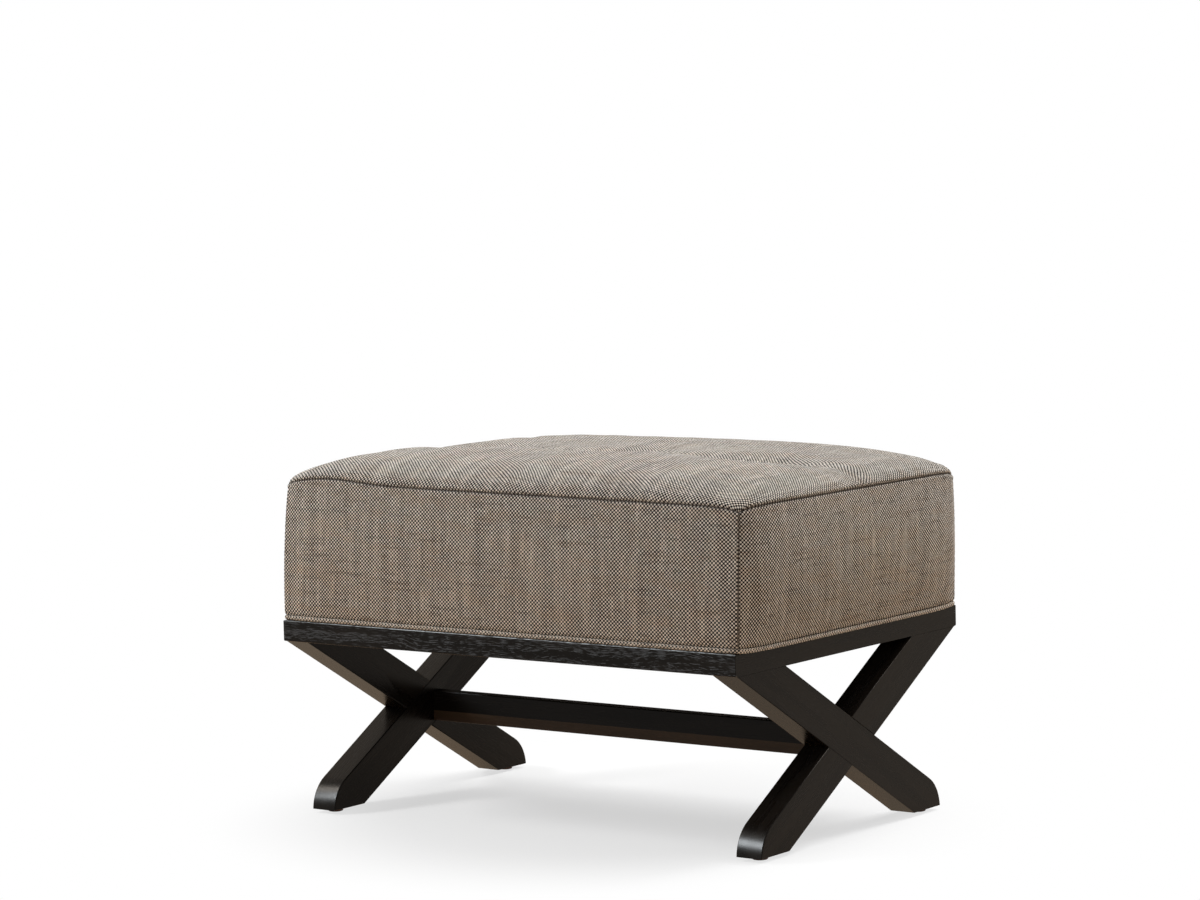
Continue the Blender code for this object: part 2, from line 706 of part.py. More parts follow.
def crown_grid(set_in, drop):
    """Points of the stuffed top, set in from its outline and down from its height."""
    rows = []
    for share_y in grid_shares(GRID_Y):
        row = []
        for share_x in grid_shares(GRID_X):
            x, y = plan_point(share_x, share_y, SEAM_HEIGHT, set_in)
            row.append((x, y, SEAM_HEIGHT + crown(share_x, share_y) - drop))
        rows.append(row)
    return rows


def rim_of(rows):
    """The border of a grid of points, in order round it."""
    last = len(rows) - 1
    right = [row[-1] for row in rows[1:]]
    left = [rows[j][0] for j in range(last - 1, 0, -1)]
    return rows[0] + right + rows[last][-2::-1] + left


def make_cover_top(cloth):
    """The crowned top panel of the cover, drawn down at its tufts."""
    outer = crown_grid(0.0, -COVER_THICKNESS)
    inner = crown_grid(0.0, 0.0)
    middle = cover_middle(SEAM_HEIGHT)
    add_object("cover_top", slab(outer, inner), (*middle, SEAM_HEIGHT), cloth, smooth=True)


def make_foam(foam):
    """The foam block under the cover, shaped to its crown, with a hole for each tuft's twine."""
    inside = COVER_THICKNESS + GAP
    bm = bmesh.new()
    upper = rim_of(skin(bm, crown_grid(inside, GAP)))
    foot = []
    for share_y in grid_shares(GRID_Y):
        foot.append([(*plan_point(x, share_y, FOAM_BOTTOM, inside), FOAM_BOTTOM) for x in grid_shares(GRID_X)])
    lower = [bm.verts.new(point) for point in rim_of(foot)]
    for i in range(len(upper)):
        j = (i + 1) % len(upper)
        bm.faces.new((upper[i], upper[j], lower[j], lower[i]))
    bm.faces.new(lower)
    obj = add_object("foam_block", bm, (*cover_middle(FOAM_BOTTOM), FOAM_BOTTOM), foam, smooth=True)
    for x in tuft_places():
        cut(obj, cylinder(twine_place(x), TWINE_RADIUS + GAP, FOAM_BOTTOM - 0.002, SEAM_HEIGHT + CROWN_HEIGHT, 10))
    return obj


def twine_place(x):
    """Where a tuft's twine stands, in plan."""
    middle = cover_middle(SEAM_HEIGHT)
    return x + middle[0], middle[1]


def make_twine(number, x, twine):
    """The twine that holds one tuft down."""
    half_x = cover_halves(SEAM_HEIGHT)[0]
    top = SEAM_HEIGHT + crown(x / half_x, 0.0) - 2 * GAP
    place = twine_place(x)
    bm = cylinder(place, TWINE_RADIUS, FOAM_BOTTOM, top, 8)
    add_object(f"tuft_twine_{number}", bm, (*place, FOAM_BOTTOM), twine, smooth=True)


def make_hessian(cloth):
    """The sheet of hessian over the webbing."""
    x = HALF_LENGTH - BOARD_SETBACK - 0.001
    y = HALF_DEPTH - BOARD_SETBACK - 0.001
    make_board("hessian", (-x, -y, HESSIAN_BOTTOM), (x, y, HESSIAN_BOTTOM + HESSIAN_THICKNESS), cloth)


def make_welt(cloth):
    """The covered cord sewn round the bottom of the cover."""
    radius = WELT_DIAMETER / 2
    half_x = HALF_LENGTH + WELT_PROUD - radius
    half_y = HALF_DEPTH + WELT_PROUD - radius
    turn = CORNER_RADIUS_LOW + radius
    level = FRAME_TOP + GAP + radius
    curve = bpy.data.curves.new("welt", "CURVE")
    curve.dimensions = "3D"
    curve.bevel_depth = radius
    curve.bevel_resolution = 2
    curve.resolution_u = 1
    spline = curve.splines.new("POLY")
    points = []
    for corner, (sx, sy) in enumerate(((-1, -1), (1, -1), (1, 1), (-1, 1))):
        for i in range(5):
            angle = radians(180 + 90 * corner + 90 * i / 4)
            x = sx * (half_x - turn) + turn * cos(angle)
            y = sy * (half_y - turn) + turn * sin(angle)
            points.append((x, y, level))
    spline.points.add(len(points) - 1)
    for point, place in zip(spline.points, points):
        point.co = (place[0], place[1], place[2], 1.0)
    spline.use_cyclic_u = True
    obj = bpy.data.objects.new("welt", curve)
    curve.materials.append(cloth)
    bpy.context.scene.collection.objects.link(obj)


def main():
    for obj in list(bpy.data.objects):
        bpy.data.objects.remove(obj, do_unlink=True)

    oak = material("dark_oak", (0.012, 0.009, 0.007), 0.32)
    pine = material("pine", (0.62, 0.44, 0.26), 0.6)
    steel = material("zinc_steel", (0.62, 0.62, 0.60), 0.35, 1.0)
    nylon = material("glide_nylon", (0.045, 0.020, 0.014), 0.4)
    cover = material("cover_weave", (0.230, 0.185, 0.150), 0.9)
    foam = material("foam", (0.80, 0.74, 0.55), 0.9)
    wadding = material("wadding", (0.85, 0.85, 0.82), 0.95)
    jute = material("jute", (0.42, 0.30, 0.17), 0.9)
    lining = material("black_lining", (0.012, 0.012, 0.012), 0.85)

    long_rail("front_rail", -1, oak)
    long_rail("back_rail", 1, oak)
    end_rail("left_end_rail", -1, oak)
    end_rail("right_end_rail", 1, oak)
    for hand, side in (("left", -1), ("right", 1)):
        make_leg(f"{hand}_rear_leg", side, 1, oak)
        make_leg(f"{hand}_front_leg", side, -1, oak)
        for place, end in (("front", -1), ("rear", 1)):
            make_glide(f"glide_{hand}_{place}", side, end, nylon)
            make_block(f"corner_block_{place}_{hand}", side, end, pine)
            make_screw(f"seat_screw_{place}_{hand}", side, end, steel)
    make_stretcher(oak)

    make_dust_cover(lining)
    make_seat_box(pine)
    make_straps(jute)
    make_hessian(jute)
    make_side_padding(wadding)
    make_foam(foam)
    for number, x in enumerate(tuft_places(), start=1):
        make_twine(number, x, jute)
    make_cover_sides(cover)
    make_cover_top(cover)
    make_welt(cover)


main()
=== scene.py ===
"""Looks of the ottoman: its tufted cushion of woven cloth, the welt round it and its stained oak base.

model.glb gives the solids. The cushion, the welt and the lining under the seat are made here, and the toes
of the legs are smoothed. The other solids are dressed as they stand, in a plain studio.
X runs along the long side, Y from front to back and Z up, in metres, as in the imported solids.
"""

from math import cos, pi, radians, sin

import bmesh
import bpy
import numpy as np
from mathutils import Matrix, Vector


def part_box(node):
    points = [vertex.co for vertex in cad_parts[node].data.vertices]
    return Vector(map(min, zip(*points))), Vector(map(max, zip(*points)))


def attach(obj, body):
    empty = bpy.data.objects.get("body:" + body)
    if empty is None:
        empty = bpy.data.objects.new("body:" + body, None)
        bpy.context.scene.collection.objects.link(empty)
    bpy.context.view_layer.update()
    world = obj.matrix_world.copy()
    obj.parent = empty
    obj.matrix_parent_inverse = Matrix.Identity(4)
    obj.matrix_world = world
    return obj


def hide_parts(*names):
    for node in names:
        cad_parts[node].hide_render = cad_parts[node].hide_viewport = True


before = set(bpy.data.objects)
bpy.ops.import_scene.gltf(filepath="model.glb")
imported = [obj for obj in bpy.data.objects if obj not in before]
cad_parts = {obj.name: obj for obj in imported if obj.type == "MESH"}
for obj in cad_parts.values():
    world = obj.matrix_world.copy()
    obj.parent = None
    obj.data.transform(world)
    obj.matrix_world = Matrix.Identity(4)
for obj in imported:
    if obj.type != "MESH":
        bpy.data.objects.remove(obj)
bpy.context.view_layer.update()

# Base: its top, the slope of the legs' grain, and the angle under which the facets of a toe are smoothed
RAIL_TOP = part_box("front_rail")[1][2]
LEG_ANGLE = radians(30)
TOE_SMOOTH = radians(24)

# Oak: how open its grain lies, from 0 to 1, and how far under the stretcher's top its painted reflection of
# the warm floor begins
LONG_RAIL_GRAIN = 0.55
END_RAIL_GRAIN = 0.10
LEG_GRAIN = 0.07
STRETCHER_GRAIN = 0.04
STRETCHER_VARNISH = 0.5
PAINTED_FLOOR_REFLECTION_DROP = 0.0262
PAINTED_REFLECTION_EDGE = 0.0006
DUST_EDGE = 0.0004

# Pores of the oak: bands and dashes to the metre, how far the grain bends, where pores begin, their depth
PORE_BANDS = 160
DASHES_ALONG = 80
DASHES_ACROSS = 900
GRAIN_BEND = 0.030
PORES = (0.54, 0.66)
PORE_DEPTH = 0.00015
OAK_ROUGHNESS = 0.23
PORE_ROUGHNESS = 0.30

# Plan of the cushion: its corners, and how far its panels stand out between them
COVER_BOTTOM = 0.2636
SEAM_HEIGHT = 0.433
CORNER_X = 0.3520
CORNER_Y = 0.2455
DRAW_IN = 0.003
LEAN_X = 0.0040
LEAN_Y = 0.0025
FRONT_BELLY = 0.0045
FRONT_TURN = 0.018
END_BELLY_LOW = 0.004
END_BELLY_TOP = 0.009
END_BELLY_SWELL = 0.009
END_TURN = 0.024
END_DROOP = 0.0024
END_DROOP_REACH = 0.020
CORNER_PULL = 0.0010
CORNER_PULL_REACH = 0.012

# Seam round the top, which isn't quite level
SEAM_FALL = 0.003
SEAM_HUMP = 0.0055
SEAM_HUMP_AT = -0.275
SEAM_HUMP_REACH = 0.060
SEAM_CORNER_DIP = 0.0055
SEAM_CORNER_REACH = 0.018

# Crown of the cushion: a roll in front, a lower back, and a channel with three blind tufts between them
CROWN_HEIGHT = 0.0350
CROWN_TILT = 0.0036
CROWN_POWER_X = 3.22
CROWN_POWER_Y = 4.33
CROWN_EDGE = 0.31
CROWN_START = 0.0005
FRONT_ROLL = 0.0040
FRONT_ROLL_AT = -0.076
BACK_ROLL = -0.0072
BACK_ROLL_AT = 0.092
ROLL_REACH = 0.066
CHANNEL_DEPTH = 0.0080
CHANNEL_REACH = 0.040
TUFTS = ((-0.2055, 0.0025), (0.0045, 0.0025), (0.2145, 0.0025))
TUFT_DEPTH = (0.0160, 0.0215, 0.0235)
TUFT_REACH = 0.047
TUFT_PINCH = 0.0040
TUFT_PINCH_REACH = 0.012
TUFT_FOLDS = 7
TUFT_FOLD_DEPTH = 0.0012
TUFT_FOLD_AT = 0.022
TUFT_FOLD_REACH = 0.014

# Mesh of the cushion: steps along the cloth, fine at the seams and coarser away from them
FINE_STEP = 0.0009
COARSE_STEP = 0.0052
STEP_GROWTH = 1.13
CROWN_SAMPLES = 4000

# Stuffing: grid and cloth of the simulation, its pressure, its steps and the most that it may push
STUFFING_GRID = (64, 44, 14)
STUFFED_CLOTH = {"quality": 6, "mass": 0.35, "shear_stiffness": 6, "bending_stiffness": 0.6}
STUFFED_CLOTH_STRETCH = 18
STUFFING_PRESSURE = 3.0
STUFFING_STEPS = 20
STUFFING_CAP = 0.0035

# Lumps in the stuffing, as crossing swells: a seed, their height, and the shortest and longest of them
SWELLS = 9
TOP_SWELLS = (11, 0.0011, 0.05, 0.16)
TOP_SWELL_REACH = 0.03
SIDE_SWELLS = (12, 0.0010, 0.04, 0.15)
SIDE_SWELL_REACH = 0.02

# Sewing: grooves along the seams, the rolled edges beside them, the tuck at the hem, and small gathers
GROOVE_DEPTH = 0.0018
GROOVE_WIDTH = 0.0011
ROLL_RISE = 0.0013
ROLL_AT = 0.0042
ROLL_WIDTH = 0.0021
ROLL_FROM_CORNER = 0.016
HEM_TUCK = 0.0016
HEM_TUCK_WIDTH = 0.0022
PUCKER_PITCH = 0.0085
PUCKER_DEPTH = 0.0004
PUCKER_REACH = 0.009
PUCKER_START = 0.0015
# Painted shade along the seams: from where to where it fades, away from a seam
SEAM_SHADOW = (0.0005, 0.0020)

# Sewing of the side panels as shares of the top's, and shifts so that the gathers of two seams don't match
SIDE_ROLL = 0.3
CORNER_GROOVE = 0.7
CORNER_ROLL = 0.25
HEM_PUCKERS = 0.6
CORNER_PUCKERS = 0.8
END_PUCKER_SHIFT = 0.31
HEM_PUCKER_SHIFT = 0.13

# Welt: its section, the steps along it, and how far it stands out from the cover and off the rails
WELT_RADIUS = 0.003
WELT_TURN = 0.005
WELT_STEP = 0.0025
WELT_SIDES = 14
WELT_PROUD = 0.0010
WELT_LIFT = 0.0003
WELT_UNEVEN = 0.03
WELT_UNEVEN_PITCH = 0.011
WELT_SIDE_CELLS = 160

# Cloth: the width of its yarns each way, how far they wander in widths, and how soft their edges are
YARN_ALONG = 0.00256
YARN_UP = 0.00235
YARN_WANDER = 0.7
YARN_EDGE = (-0.07, 0.13)
YARN_RELIEF = 0.0005

# Cloth: how much of the dark yarns shows, where slubs and brown patches begin, and the shift between panels
CLOTH_DARKNESS = 0.10
WELT_DARKNESS = 0.0
DARK_SLUBS = (0.585, 0.68)
CREAM_SLUBS = (0.54, 0.70)
BROWN_PATCHES = (0.40, 0.68)
PANEL_SHIFT = 0.37

# Lining under the seat
DUST_COVER_CELLS = 40
DUST_COVER_SAG = 0.004
DUST_COVER_RIPPLE = (5, 0.0006, 0.03, 0.12)
RIPPLE_FROM_SAG = 0.0003

# Colours. Where there are two, the surface varies between them
CREAM_YARN = ((0.76, 0.695, 0.615), (0.95, 0.885, 0.80))
# Brown for patches in the cream yarn, and for the painted warm bounce light of the floor low on the sides
BROWNED_YARN_AND_PAINTED_BOUNCE = (0.74, 0.57, 0.41)
DARK_YARN = ((0.013, 0.010, 0.008), (0.044, 0.026, 0.015))
# Painted shade in the seams
SEAM_SHADOW_BROWN = (0.030, 0.019, 0.012)
BLACK_STAIN = ((0.0050, 0.0042, 0.0036), (0.0105, 0.0088, 0.0075))
OPEN_PORE = (0.074, 0.082, 0.097)
# Painted reflection of the warm floor, on the stretcher's lower part
PAINTED_FLOOR_REFLECTION = (0.080, 0.054, 0.036)
LACQUER = (0.97, 0.91, 0.84)
PINE = ((0.66, 0.47, 0.28), (0.50, 0.31, 0.15))
NYLON = ((0.065, 0.022, 0.012), (0.120, 0.050, 0.030))
ZINC = ((0.52, 0.53, 0.52), (0.68, 0.68, 0.64))
JUTE = ((0.30, 0.20, 0.10), (0.50, 0.37, 0.22))
BLACK_LINING = ((0.010, 0.010, 0.011), (0.026, 0.026, 0.028))

# Camera, at the place and angle that fit the straight edges of the base in the photograph
CAMERA_PLACE = (2.8887, -3.9540, 0.8995)
CAMERA_AZIMUTH = radians(36.376)
CAMERA_ELEVATION = radians(5.060)
CAMERA_ROLL = radians(-1.418)
CAMERA_LENS = 115.76

# Studio: even light of the room, what the floor throws back on the object, and how much the floor glows
WHITE = (1.0, 1.0, 1.0)
ROOM_LIGHT = 0.41
FLOOR_BOUNCE = (0.58, 0.455, 0.345)
FLOOR_GLOW = 0.58
FLOOR_FADE = (0.27, 0.56)
FLOOR_REACH = 30.0

# Lamps: soft boxes by place, target, size and power in watts. The last shows only in glossy surfaces
OVERHEAD = {"place": (0.8, 2.3, 3.2), "target": (0, 0, 0.2), "size": (1.6, 1.6), "power": 120}
KEY = {"place": (-2.0, -1.25, 1.8), "target": (0, 0, 0.3), "size": (0.6, 0.6), "power": 33}
SHINE = {"place": (-1.8, -2.5, 1.7), "target": (0, 0, 0.1), "size": (1.3, 0.9), "power": 400}
SHINE_COLOUR = (0.76, 0.87, 1.0)


class Value:
    """A number, colour or vector that varies over a surface. Sums of numbers add their Math nodes."""

    def __init__(self, nodes, socket):
        self.nodes = nodes
        self.socket = socket

    def math(self, operation, *terms):
        return self.nodes.node("Math", {"operation": operation}, dict(enumerate(terms)))

    def __add__(self, other):
        return self.math("ADD", self, other)

    def __radd__(self, other):
        return self.math("ADD", other, self)

    def __sub__(self, other):
        return self.math("SUBTRACT", self, other)

    def __rsub__(self, other):
        return self.math("SUBTRACT", other, self)

    def __mul__(self, other):
        return self.math("MULTIPLY", self, other)

    def __rmul__(self, other):
        return self.math("MULTIPLY", other, self)

    def __truediv__(self, other):
        return self.math("DIVIDE", self, other)

    def __rtruediv__(self, other):
        return self.math("DIVIDE", other, self)

    def __pow__(self, other):
        return self.math("POWER", self, other)

    def __abs__(self):
        return self.math("ABSOLUTE", self)

    def sine(self):
        return self.math("SINE", self)

    def least(self, other):
        return self.math("MINIMUM", self, other)

    def floor(self):
        return self.math("FLOOR", self)

    def step(self, low, high):
        """0 below low, 1 above high and a smooth rise between them."""
        ends = {"Value": self, "From Min": low, "From Max": high}
        return self.nodes.node("MapRange", {"interpolation_type": "SMOOTHSTEP"}, ends)


class Nodes:
    """The node tree of a material or of the world, emptied and filled anew."""

    def __init__(self, owner):
        owner.use_nodes = True
        self.tree = owner.node_tree
        self.tree.nodes.clear()

    def node(self, kind, settings, sockets, output=0):
        """Adds a node with these settings and socket values or links, and gives back one of its outputs."""
        made = self.tree.nodes.new("ShaderNode" + kind)
        for name, value in settings.items():
            setattr(made, name, value)
        for name, value in sockets.items():
            self.set(made.inputs[name], value)
        return Value(self, made.outputs[output]) if made.outputs else made

    def set(self, socket, value):
        if isinstance(value, Value):
            self.tree.links.new(value.socket, socket)
        elif isinstance(value, tuple) and socket.type == "RGBA":
            socket.default_value = (*value, 1.0)
        else:
            socket.default_value = value

    def is_ray(self, kind):
        """1 for rays of a kind, such as Camera or Glossy, and 0 for others."""
        return self.node("LightPath", {}, {}, f"Is {kind} Ray")

    def is_seen(self):
        """1 for rays that reach the picture, straight or by a glossy or clear surface, and 0 for others."""
        return (self.is_ray("Camera") + self.is_ray("Glossy") + self.is_ray("Transmission")).least(1.0)


class Finish(Nodes):
    """One material and the nodes that make it."""

    def __init__(self, name, roughness, specular=0.5, **fixed):
        self.material = bpy.data.materials.new(name)
        super().__init__(self.material)
        surface = self.node("BsdfPrincipled", {}, {})
        self.shader = surface.socket.node
        self.output = self.node("OutputMaterial", {}, {"Surface": surface})
        self.wear(roughness=roughness, specular_ior_level=specular, **fixed)

    def wear(self, **sockets):
        """Sets or links the shader's sockets."""
        for name, value in sockets.items():
            title = name.replace("_", " ").title().replace("Ior", "IOR")
            self.set(self.shader.inputs[title], value)

    def place(self):
        """The point of the surface, in metres."""
        return self.node("TexCoord", {}, {}, "Object")

    def map(self, name):
        """The two numbers of a map on the mesh, as a vector."""
        return self.node("UVMap", {"uv_map": name}, {})

    def along(self, point, direction):
        """How far a point lies along a direction."""
        sockets = {0: point, 1: tuple(direction)}
        return self.node("VectorMath", {"operation": "DOT_PRODUCT"}, sockets, "Value")

    def point(self, x, y, z=0.0):
        return self.node("CombineXYZ", {}, {"X": x, "Y": y, "Z": z})

    def noise(self, point, scale=1.0, detail=2.0, roughness=0.5):
        """Cloudy noise from 0 to 1, with one cloud to each length of 1 / scale."""
        sockets = {"Vector": point, "Scale": scale, "Detail": detail, "Roughness": roughness}
        return self.node("TexNoise", {}, sockets, "Fac")

    def tint(self, share, first, second):
        """A colour that goes from the first to the second as the share goes from 0 to 1."""
        return self.node("Mix", {"data_type": "RGBA"}, {0: share, 6: first, 7: second}, 2)

    def shade(self, colour, amount):
        """A colour made darker or lighter by an amount that varies over the surface."""
        grey = self.node("CombineColor", {}, {"Red": amount, "Green": amount, "Blue": amount})
        settings = {"data_type": "RGBA", "blend_type": "MULTIPLY"}
        return self.node("Mix", settings, {0: 1.0, 6: colour, 7: grey}, 2)

    def relief(self, height, depth, strength=1.0):
        """The normal of a surface with this relief, whose depth is in metres."""
        sockets = {"Height": height, "Distance": depth, "Strength": strength}
        return self.node("Bump", {}, sockets, "Normal")


# Cloth


def woven_cloth(name, darkness, sewn=True):
    """Plain weave of thick cream and near-black yarns, which lies by the map 'weave'.

    More darkness lets more of the dark yarns show. Sewn cloth has painted shade in its seams, by the map
    'seams'.
    """
    nap = {"sheen_weight": 0.10, "sheen_roughness": 0.5, "sheen_tint": (0.95, 0.93, 0.90)}
    cloth = Finish(name, 0.88, 0.1, **nap)
    lay = cloth.map("weave")
    across = cloth.along(lay, (1, 0, 0))
    up = cloth.along(lay, (0, 1, 0))

    # Yarns wander a little, as hand-spun ones do
    sway = cloth.noise(cloth.point(across * 55, up * 8, 5.0)) - 0.5
    drift = cloth.noise(cloth.point(across * 8, up * 55)) - 0.5
    warp = across / YARN_ALONG + sway * YARN_WANDER
    weft = up / YARN_UP + drift * YARN_WANDER
    crossing = (warp * pi).sine() * (weft * pi).sine()

    # Slubs: long stretches where a dark weft lies thick, and others where a cream warp does
    row, column = weft.floor(), warp.floor()
    dark_slub = cloth.noise(cloth.point(across * 15, row * 1.37)).step(*DARK_SLUBS)
    cream_slub = cloth.noise(cloth.point(column * 1.37, up * 14, 9.0)).step(*CREAM_SLUBS)
    streak = cloth.noise(cloth.point(across * 75, up * 7, 3.0)) - 0.5
    thick = dark_slub * 0.30 - cream_slub * 0.20 - streak * 0.65
    cream = (crossing - thick * 0.7 - darkness).step(*YARN_EDGE)

    # Each yarn a little lighter or darker than the next, browner in patches, and painted browner low on the
    # sides as warm bounce light from the floor
    yarn = cloth.noise(cloth.point(column * 3.1, row * 2.7), 1.0, 0.0)
    brown = cloth.noise(cloth.point(across * 16, up * 60, 7.0), 1.0, 3.0, 0.6).step(*BROWN_PATCHES)
    pale = cloth.tint(yarn.step(0.3, 0.7), *CREAM_YARN)
    # Painted warm bounce light from the floor: the cream goes browner from the top seam down to the hem and
    # the welt
    low = 1 - cloth.along(cloth.place(), (0, 0, 1)).step(COVER_BOTTOM, SEAM_HEIGHT)
    pale = cloth.tint(brown * 0.28 + low * 0.40, pale, BROWNED_YARN_AND_PAINTED_BOUNCE)
    dark = cloth.tint(brown * 0.5 + dark_slub * 0.5, *DARK_YARN)
    colour = cloth.tint(cream, dark, pale)
    # Painted shade in the seam grooves: darker brown within two millimetres of a seam
    if sewn:
        open_cloth = cloth.along(cloth.map("seams"), (1, 0, 0)).step(*SEAM_SHADOW)
        colour = cloth.tint(open_cloth * 0.75 + 0.25, SEAM_SHADOW_BROWN, colour)

    fibres = cloth.noise(lay, 2600.0, 2.0, 0.7)
    height = abs(crossing) ** 0.55 + fibres * 0.15
    cloth.wear(base_color=colour, normal=cloth.relief(height, YARN_RELIEF, 0.8))
    return cloth.material


# Oak


def stained_oak(name, grain, face, seed, open_grain, varnish=1.0, painted_reflection_below=None, dusty_above=None):
    """Oak stained near black, by the directions of its grain and of its broad side.

    Below one height, where it is given, it is painted brown, a painted reflection of the warm floor. Above
    another, it is dusty.
    """
    coat = {"coat_weight": varnish, "coat_ior": 1.0, "coat_roughness": 0.3}
    oak = Finish(name, 0.3, 0.08, coat_tint=LACQUER, **coat)
    place = oak.place()
    grain, face = Vector(grain).normalized(), Vector(face).normalized()
    long = oak.along(place, grain)
    wide = oak.along(place, grain.cross(face))
    deep = oak.along(place, face)

    # Pores: fine dashes in bands, which a rising and falling grain bends
    bend = oak.noise(oak.point(long * 9 + seed, wide * 12, deep * 12), 1.0, 2.0) - 0.5
    lift = bend * GRAIN_BEND
    band = oak.noise(oak.point((wide + deep * 0.7 + lift) * PORE_BANDS, seed, long * 2), 1.0, 2.0)
    dashes = oak.point(long * DASHES_ALONG + seed, (wide + lift) * DASHES_ACROSS, deep * DASHES_ACROSS)
    dash = oak.noise(dashes, 1.0, 2.0, 0.6)
    pores = (dash + (band - 0.5) * 0.45).step(*PORES)

    tone = oak.noise(oak.point(long * 6, wide * 60, deep * 60 + seed), 1.0, 3.0)
    colour = oak.tint(tone.step(0.3, 0.7), *BLACK_STAIN)
    colour = oak.tint(pores * open_grain, colour, OPEN_PORE)
    # Below the given height the colour is painted brown, a painted reflection of the warm floor
    if painted_reflection_below:
        thin = oak.along(place, (0, 0, -1)).step(-painted_reflection_below - PAINTED_REFLECTION_EDGE, -painted_reflection_below + PAINTED_REFLECTION_EDGE)
        colour = oak.tint(thin * (0.55 + tone * 0.5), colour, PAINTED_FLOOR_REFLECTION)
    rough = OAK_ROUGHNESS + tone * 0.08 + pores * (PORE_ROUGHNESS * open_grain)
    if dusty_above:
        rough = rough + oak.along(place, (0, 0, 1)).step(dusty_above - DUST_EDGE, dusty_above) * 0.5
    relief = oak.relief(tone * 0.15 - pores, PORE_DEPTH, open_grain)
    oak.wear(base_color=colour, roughness=rough, normal=relief)
    return oak.material


def plain_wood(name):
    """Sawn pine, with wide pale rings."""
    pine = Finish(name, 0.62, 0.4)
    place = pine.place()
    x, y, z = (pine.along(place, axis) for axis in ((1, 0, 0), (0, 1, 0), (0, 0, 1)))
    wander = pine.noise(pine.point(x * 4, y * 4, z * 30))
    rings = ((z + wander * 0.03) * 1100).sine() * 0.5 + 0.5
    pores = pine.noise(pine.point(x * 60, y * 60, z * 1400))
    colour = pine.tint(rings * 0.7, *PINE)
    colour = pine.shade(colour, 0.9 + pores * 0.2)
    pine.wear(base_color=colour, normal=pine.relief(rings + pores, 0.0001, 0.6))
    return pine.material


# Small parts


def glide_plastic(name):
    """Dark red-brown nylon, a little scuffed."""
    nylon = Finish(name, 0.42, 0.2)
    scuffs = nylon.noise(nylon.place(), 900.0, 3.0, 0.7)
    colour = nylon.tint(scuffs.step(0.35, 0.75), *NYLON)
    relief = nylon.relief(scuffs, 0.00008, 0.5)
    nylon.wear(base_color=colour, roughness=0.34 + scuffs * 0.25, normal=relief)
    return nylon.material


def zinc(name):
    """Bright zinc plate with a brushed haze."""
    plate = Finish(name, 0.32, 0.5, metallic=1.0)
    haze = plate.noise(plate.place(), 700.0, 3.0, 0.6)
    colour = plate.tint(haze, *ZINC)
    plate.wear(base_color=colour, roughness=0.24 + haze * 0.2, normal=plate.relief(haze, 0.00005, 0.5))
    return plate.material


def thin_cloth(name, colours, pitch, depth):
    """A plain thin cloth or webbing, woven square to the object with this pitch and depth of relief."""
    cloth = Finish(name, 0.9, 0.2)
    place = cloth.place()
    x = cloth.along(place, (1, 0, 0)) * (pi / pitch)
    y = cloth.along(place, (0, 1, 0)) * (pi / pitch)
    z = cloth.along(place, (0, 0, 1)) * (pi / pitch)
    weave = (x + z).sine() * (y + z).sine()
    cloud = cloth.noise(place, 40.0, 3.0, 0.6)
    colour = cloth.tint((weave * 0.35 + cloud * 0.8).step(0.0, 0.9), *colours)
    cloth.wear(base_color=colour, normal=cloth.relief(abs(weave), depth, 0.8))
    return cloth.material


# Shape of the cushion


def graded(run):
    """Places from 0 to a run, in steps that are fine at first and coarser further on."""
    step, places = FINE_STEP, [0.0]
    while places[-1] < run:
        places.append(places[-1] + step)
        step = min(step * STEP_GROWTH, COARSE_STEP)
    return np.array(places) * run / places[-1]


def both_ways(inward):
    """Shares from -1 to 1, from the way inward of each place as a share of the half length."""
    shares = 1 - inward
    return np.concatenate([-shares, shares[-2::-1]])


def shares_over_crown(corner, power):
    """Shares of a half side whose steps lie evenly graded along the cloth as it rises from the seam."""
    inward = np.append(0.0, np.geomspace(1e-8, corner, CROWN_SAMPLES))
    height = CROWN_HEIGHT * rounded(1 - (1 - inward / corner) ** power)
    run = np.append(0.0, np.cumsum(np.hypot(np.diff(inward), np.diff(height))))
    return both_ways(np.interp(graded(run[-1]), run, inward) / corner)


def from_corner(share, corner):
    """How far a place along a side lies from its nearer corner."""
    return corner * (1 - np.abs(share))


def plan(share_x, share_y, rise):
    """Plan point of the cushion at shares of its half sides and a share of its rise to the top seam."""
    corner_x = CORNER_X - DRAW_IN * rise**2
    corner_y = CORNER_Y - DRAW_IN * rise**2
    away_x, away_y = from_corner(share_x, corner_x), from_corner(share_y, corner_y)
    end_belly = END_BELLY_LOW + (END_BELLY_TOP - END_BELLY_LOW) * rise
    end_belly = (end_belly + END_BELLY_SWELL * np.sin(pi * rise)) * (1 - np.exp(-away_y / END_TURN))
    front_belly = FRONT_BELLY * (1 - np.exp(-away_x / FRONT_TURN))
    pull = CORNER_PULL * np.exp(-np.hypot(away_x, away_y) / CORNER_PULL_REACH) * rise**8
    x = share_x * (corner_x + end_belly - pull) + LEAN_X * rise**1.5
    y = share_y * (corner_y + front_belly - pull) + LEAN_Y * rise**1.5
    return x, y


def bottom_height(share_x, share_y):
    """Height of the cover's lower edge, which droops a little where an end overhangs its rail."""
    overhang = 1 - np.exp(-from_corner(share_y, CORNER_Y) / END_DROOP_REACH)
    return COVER_BOTTOM - END_DROOP * overhang * np.isclose(np.abs(share_x), 1)


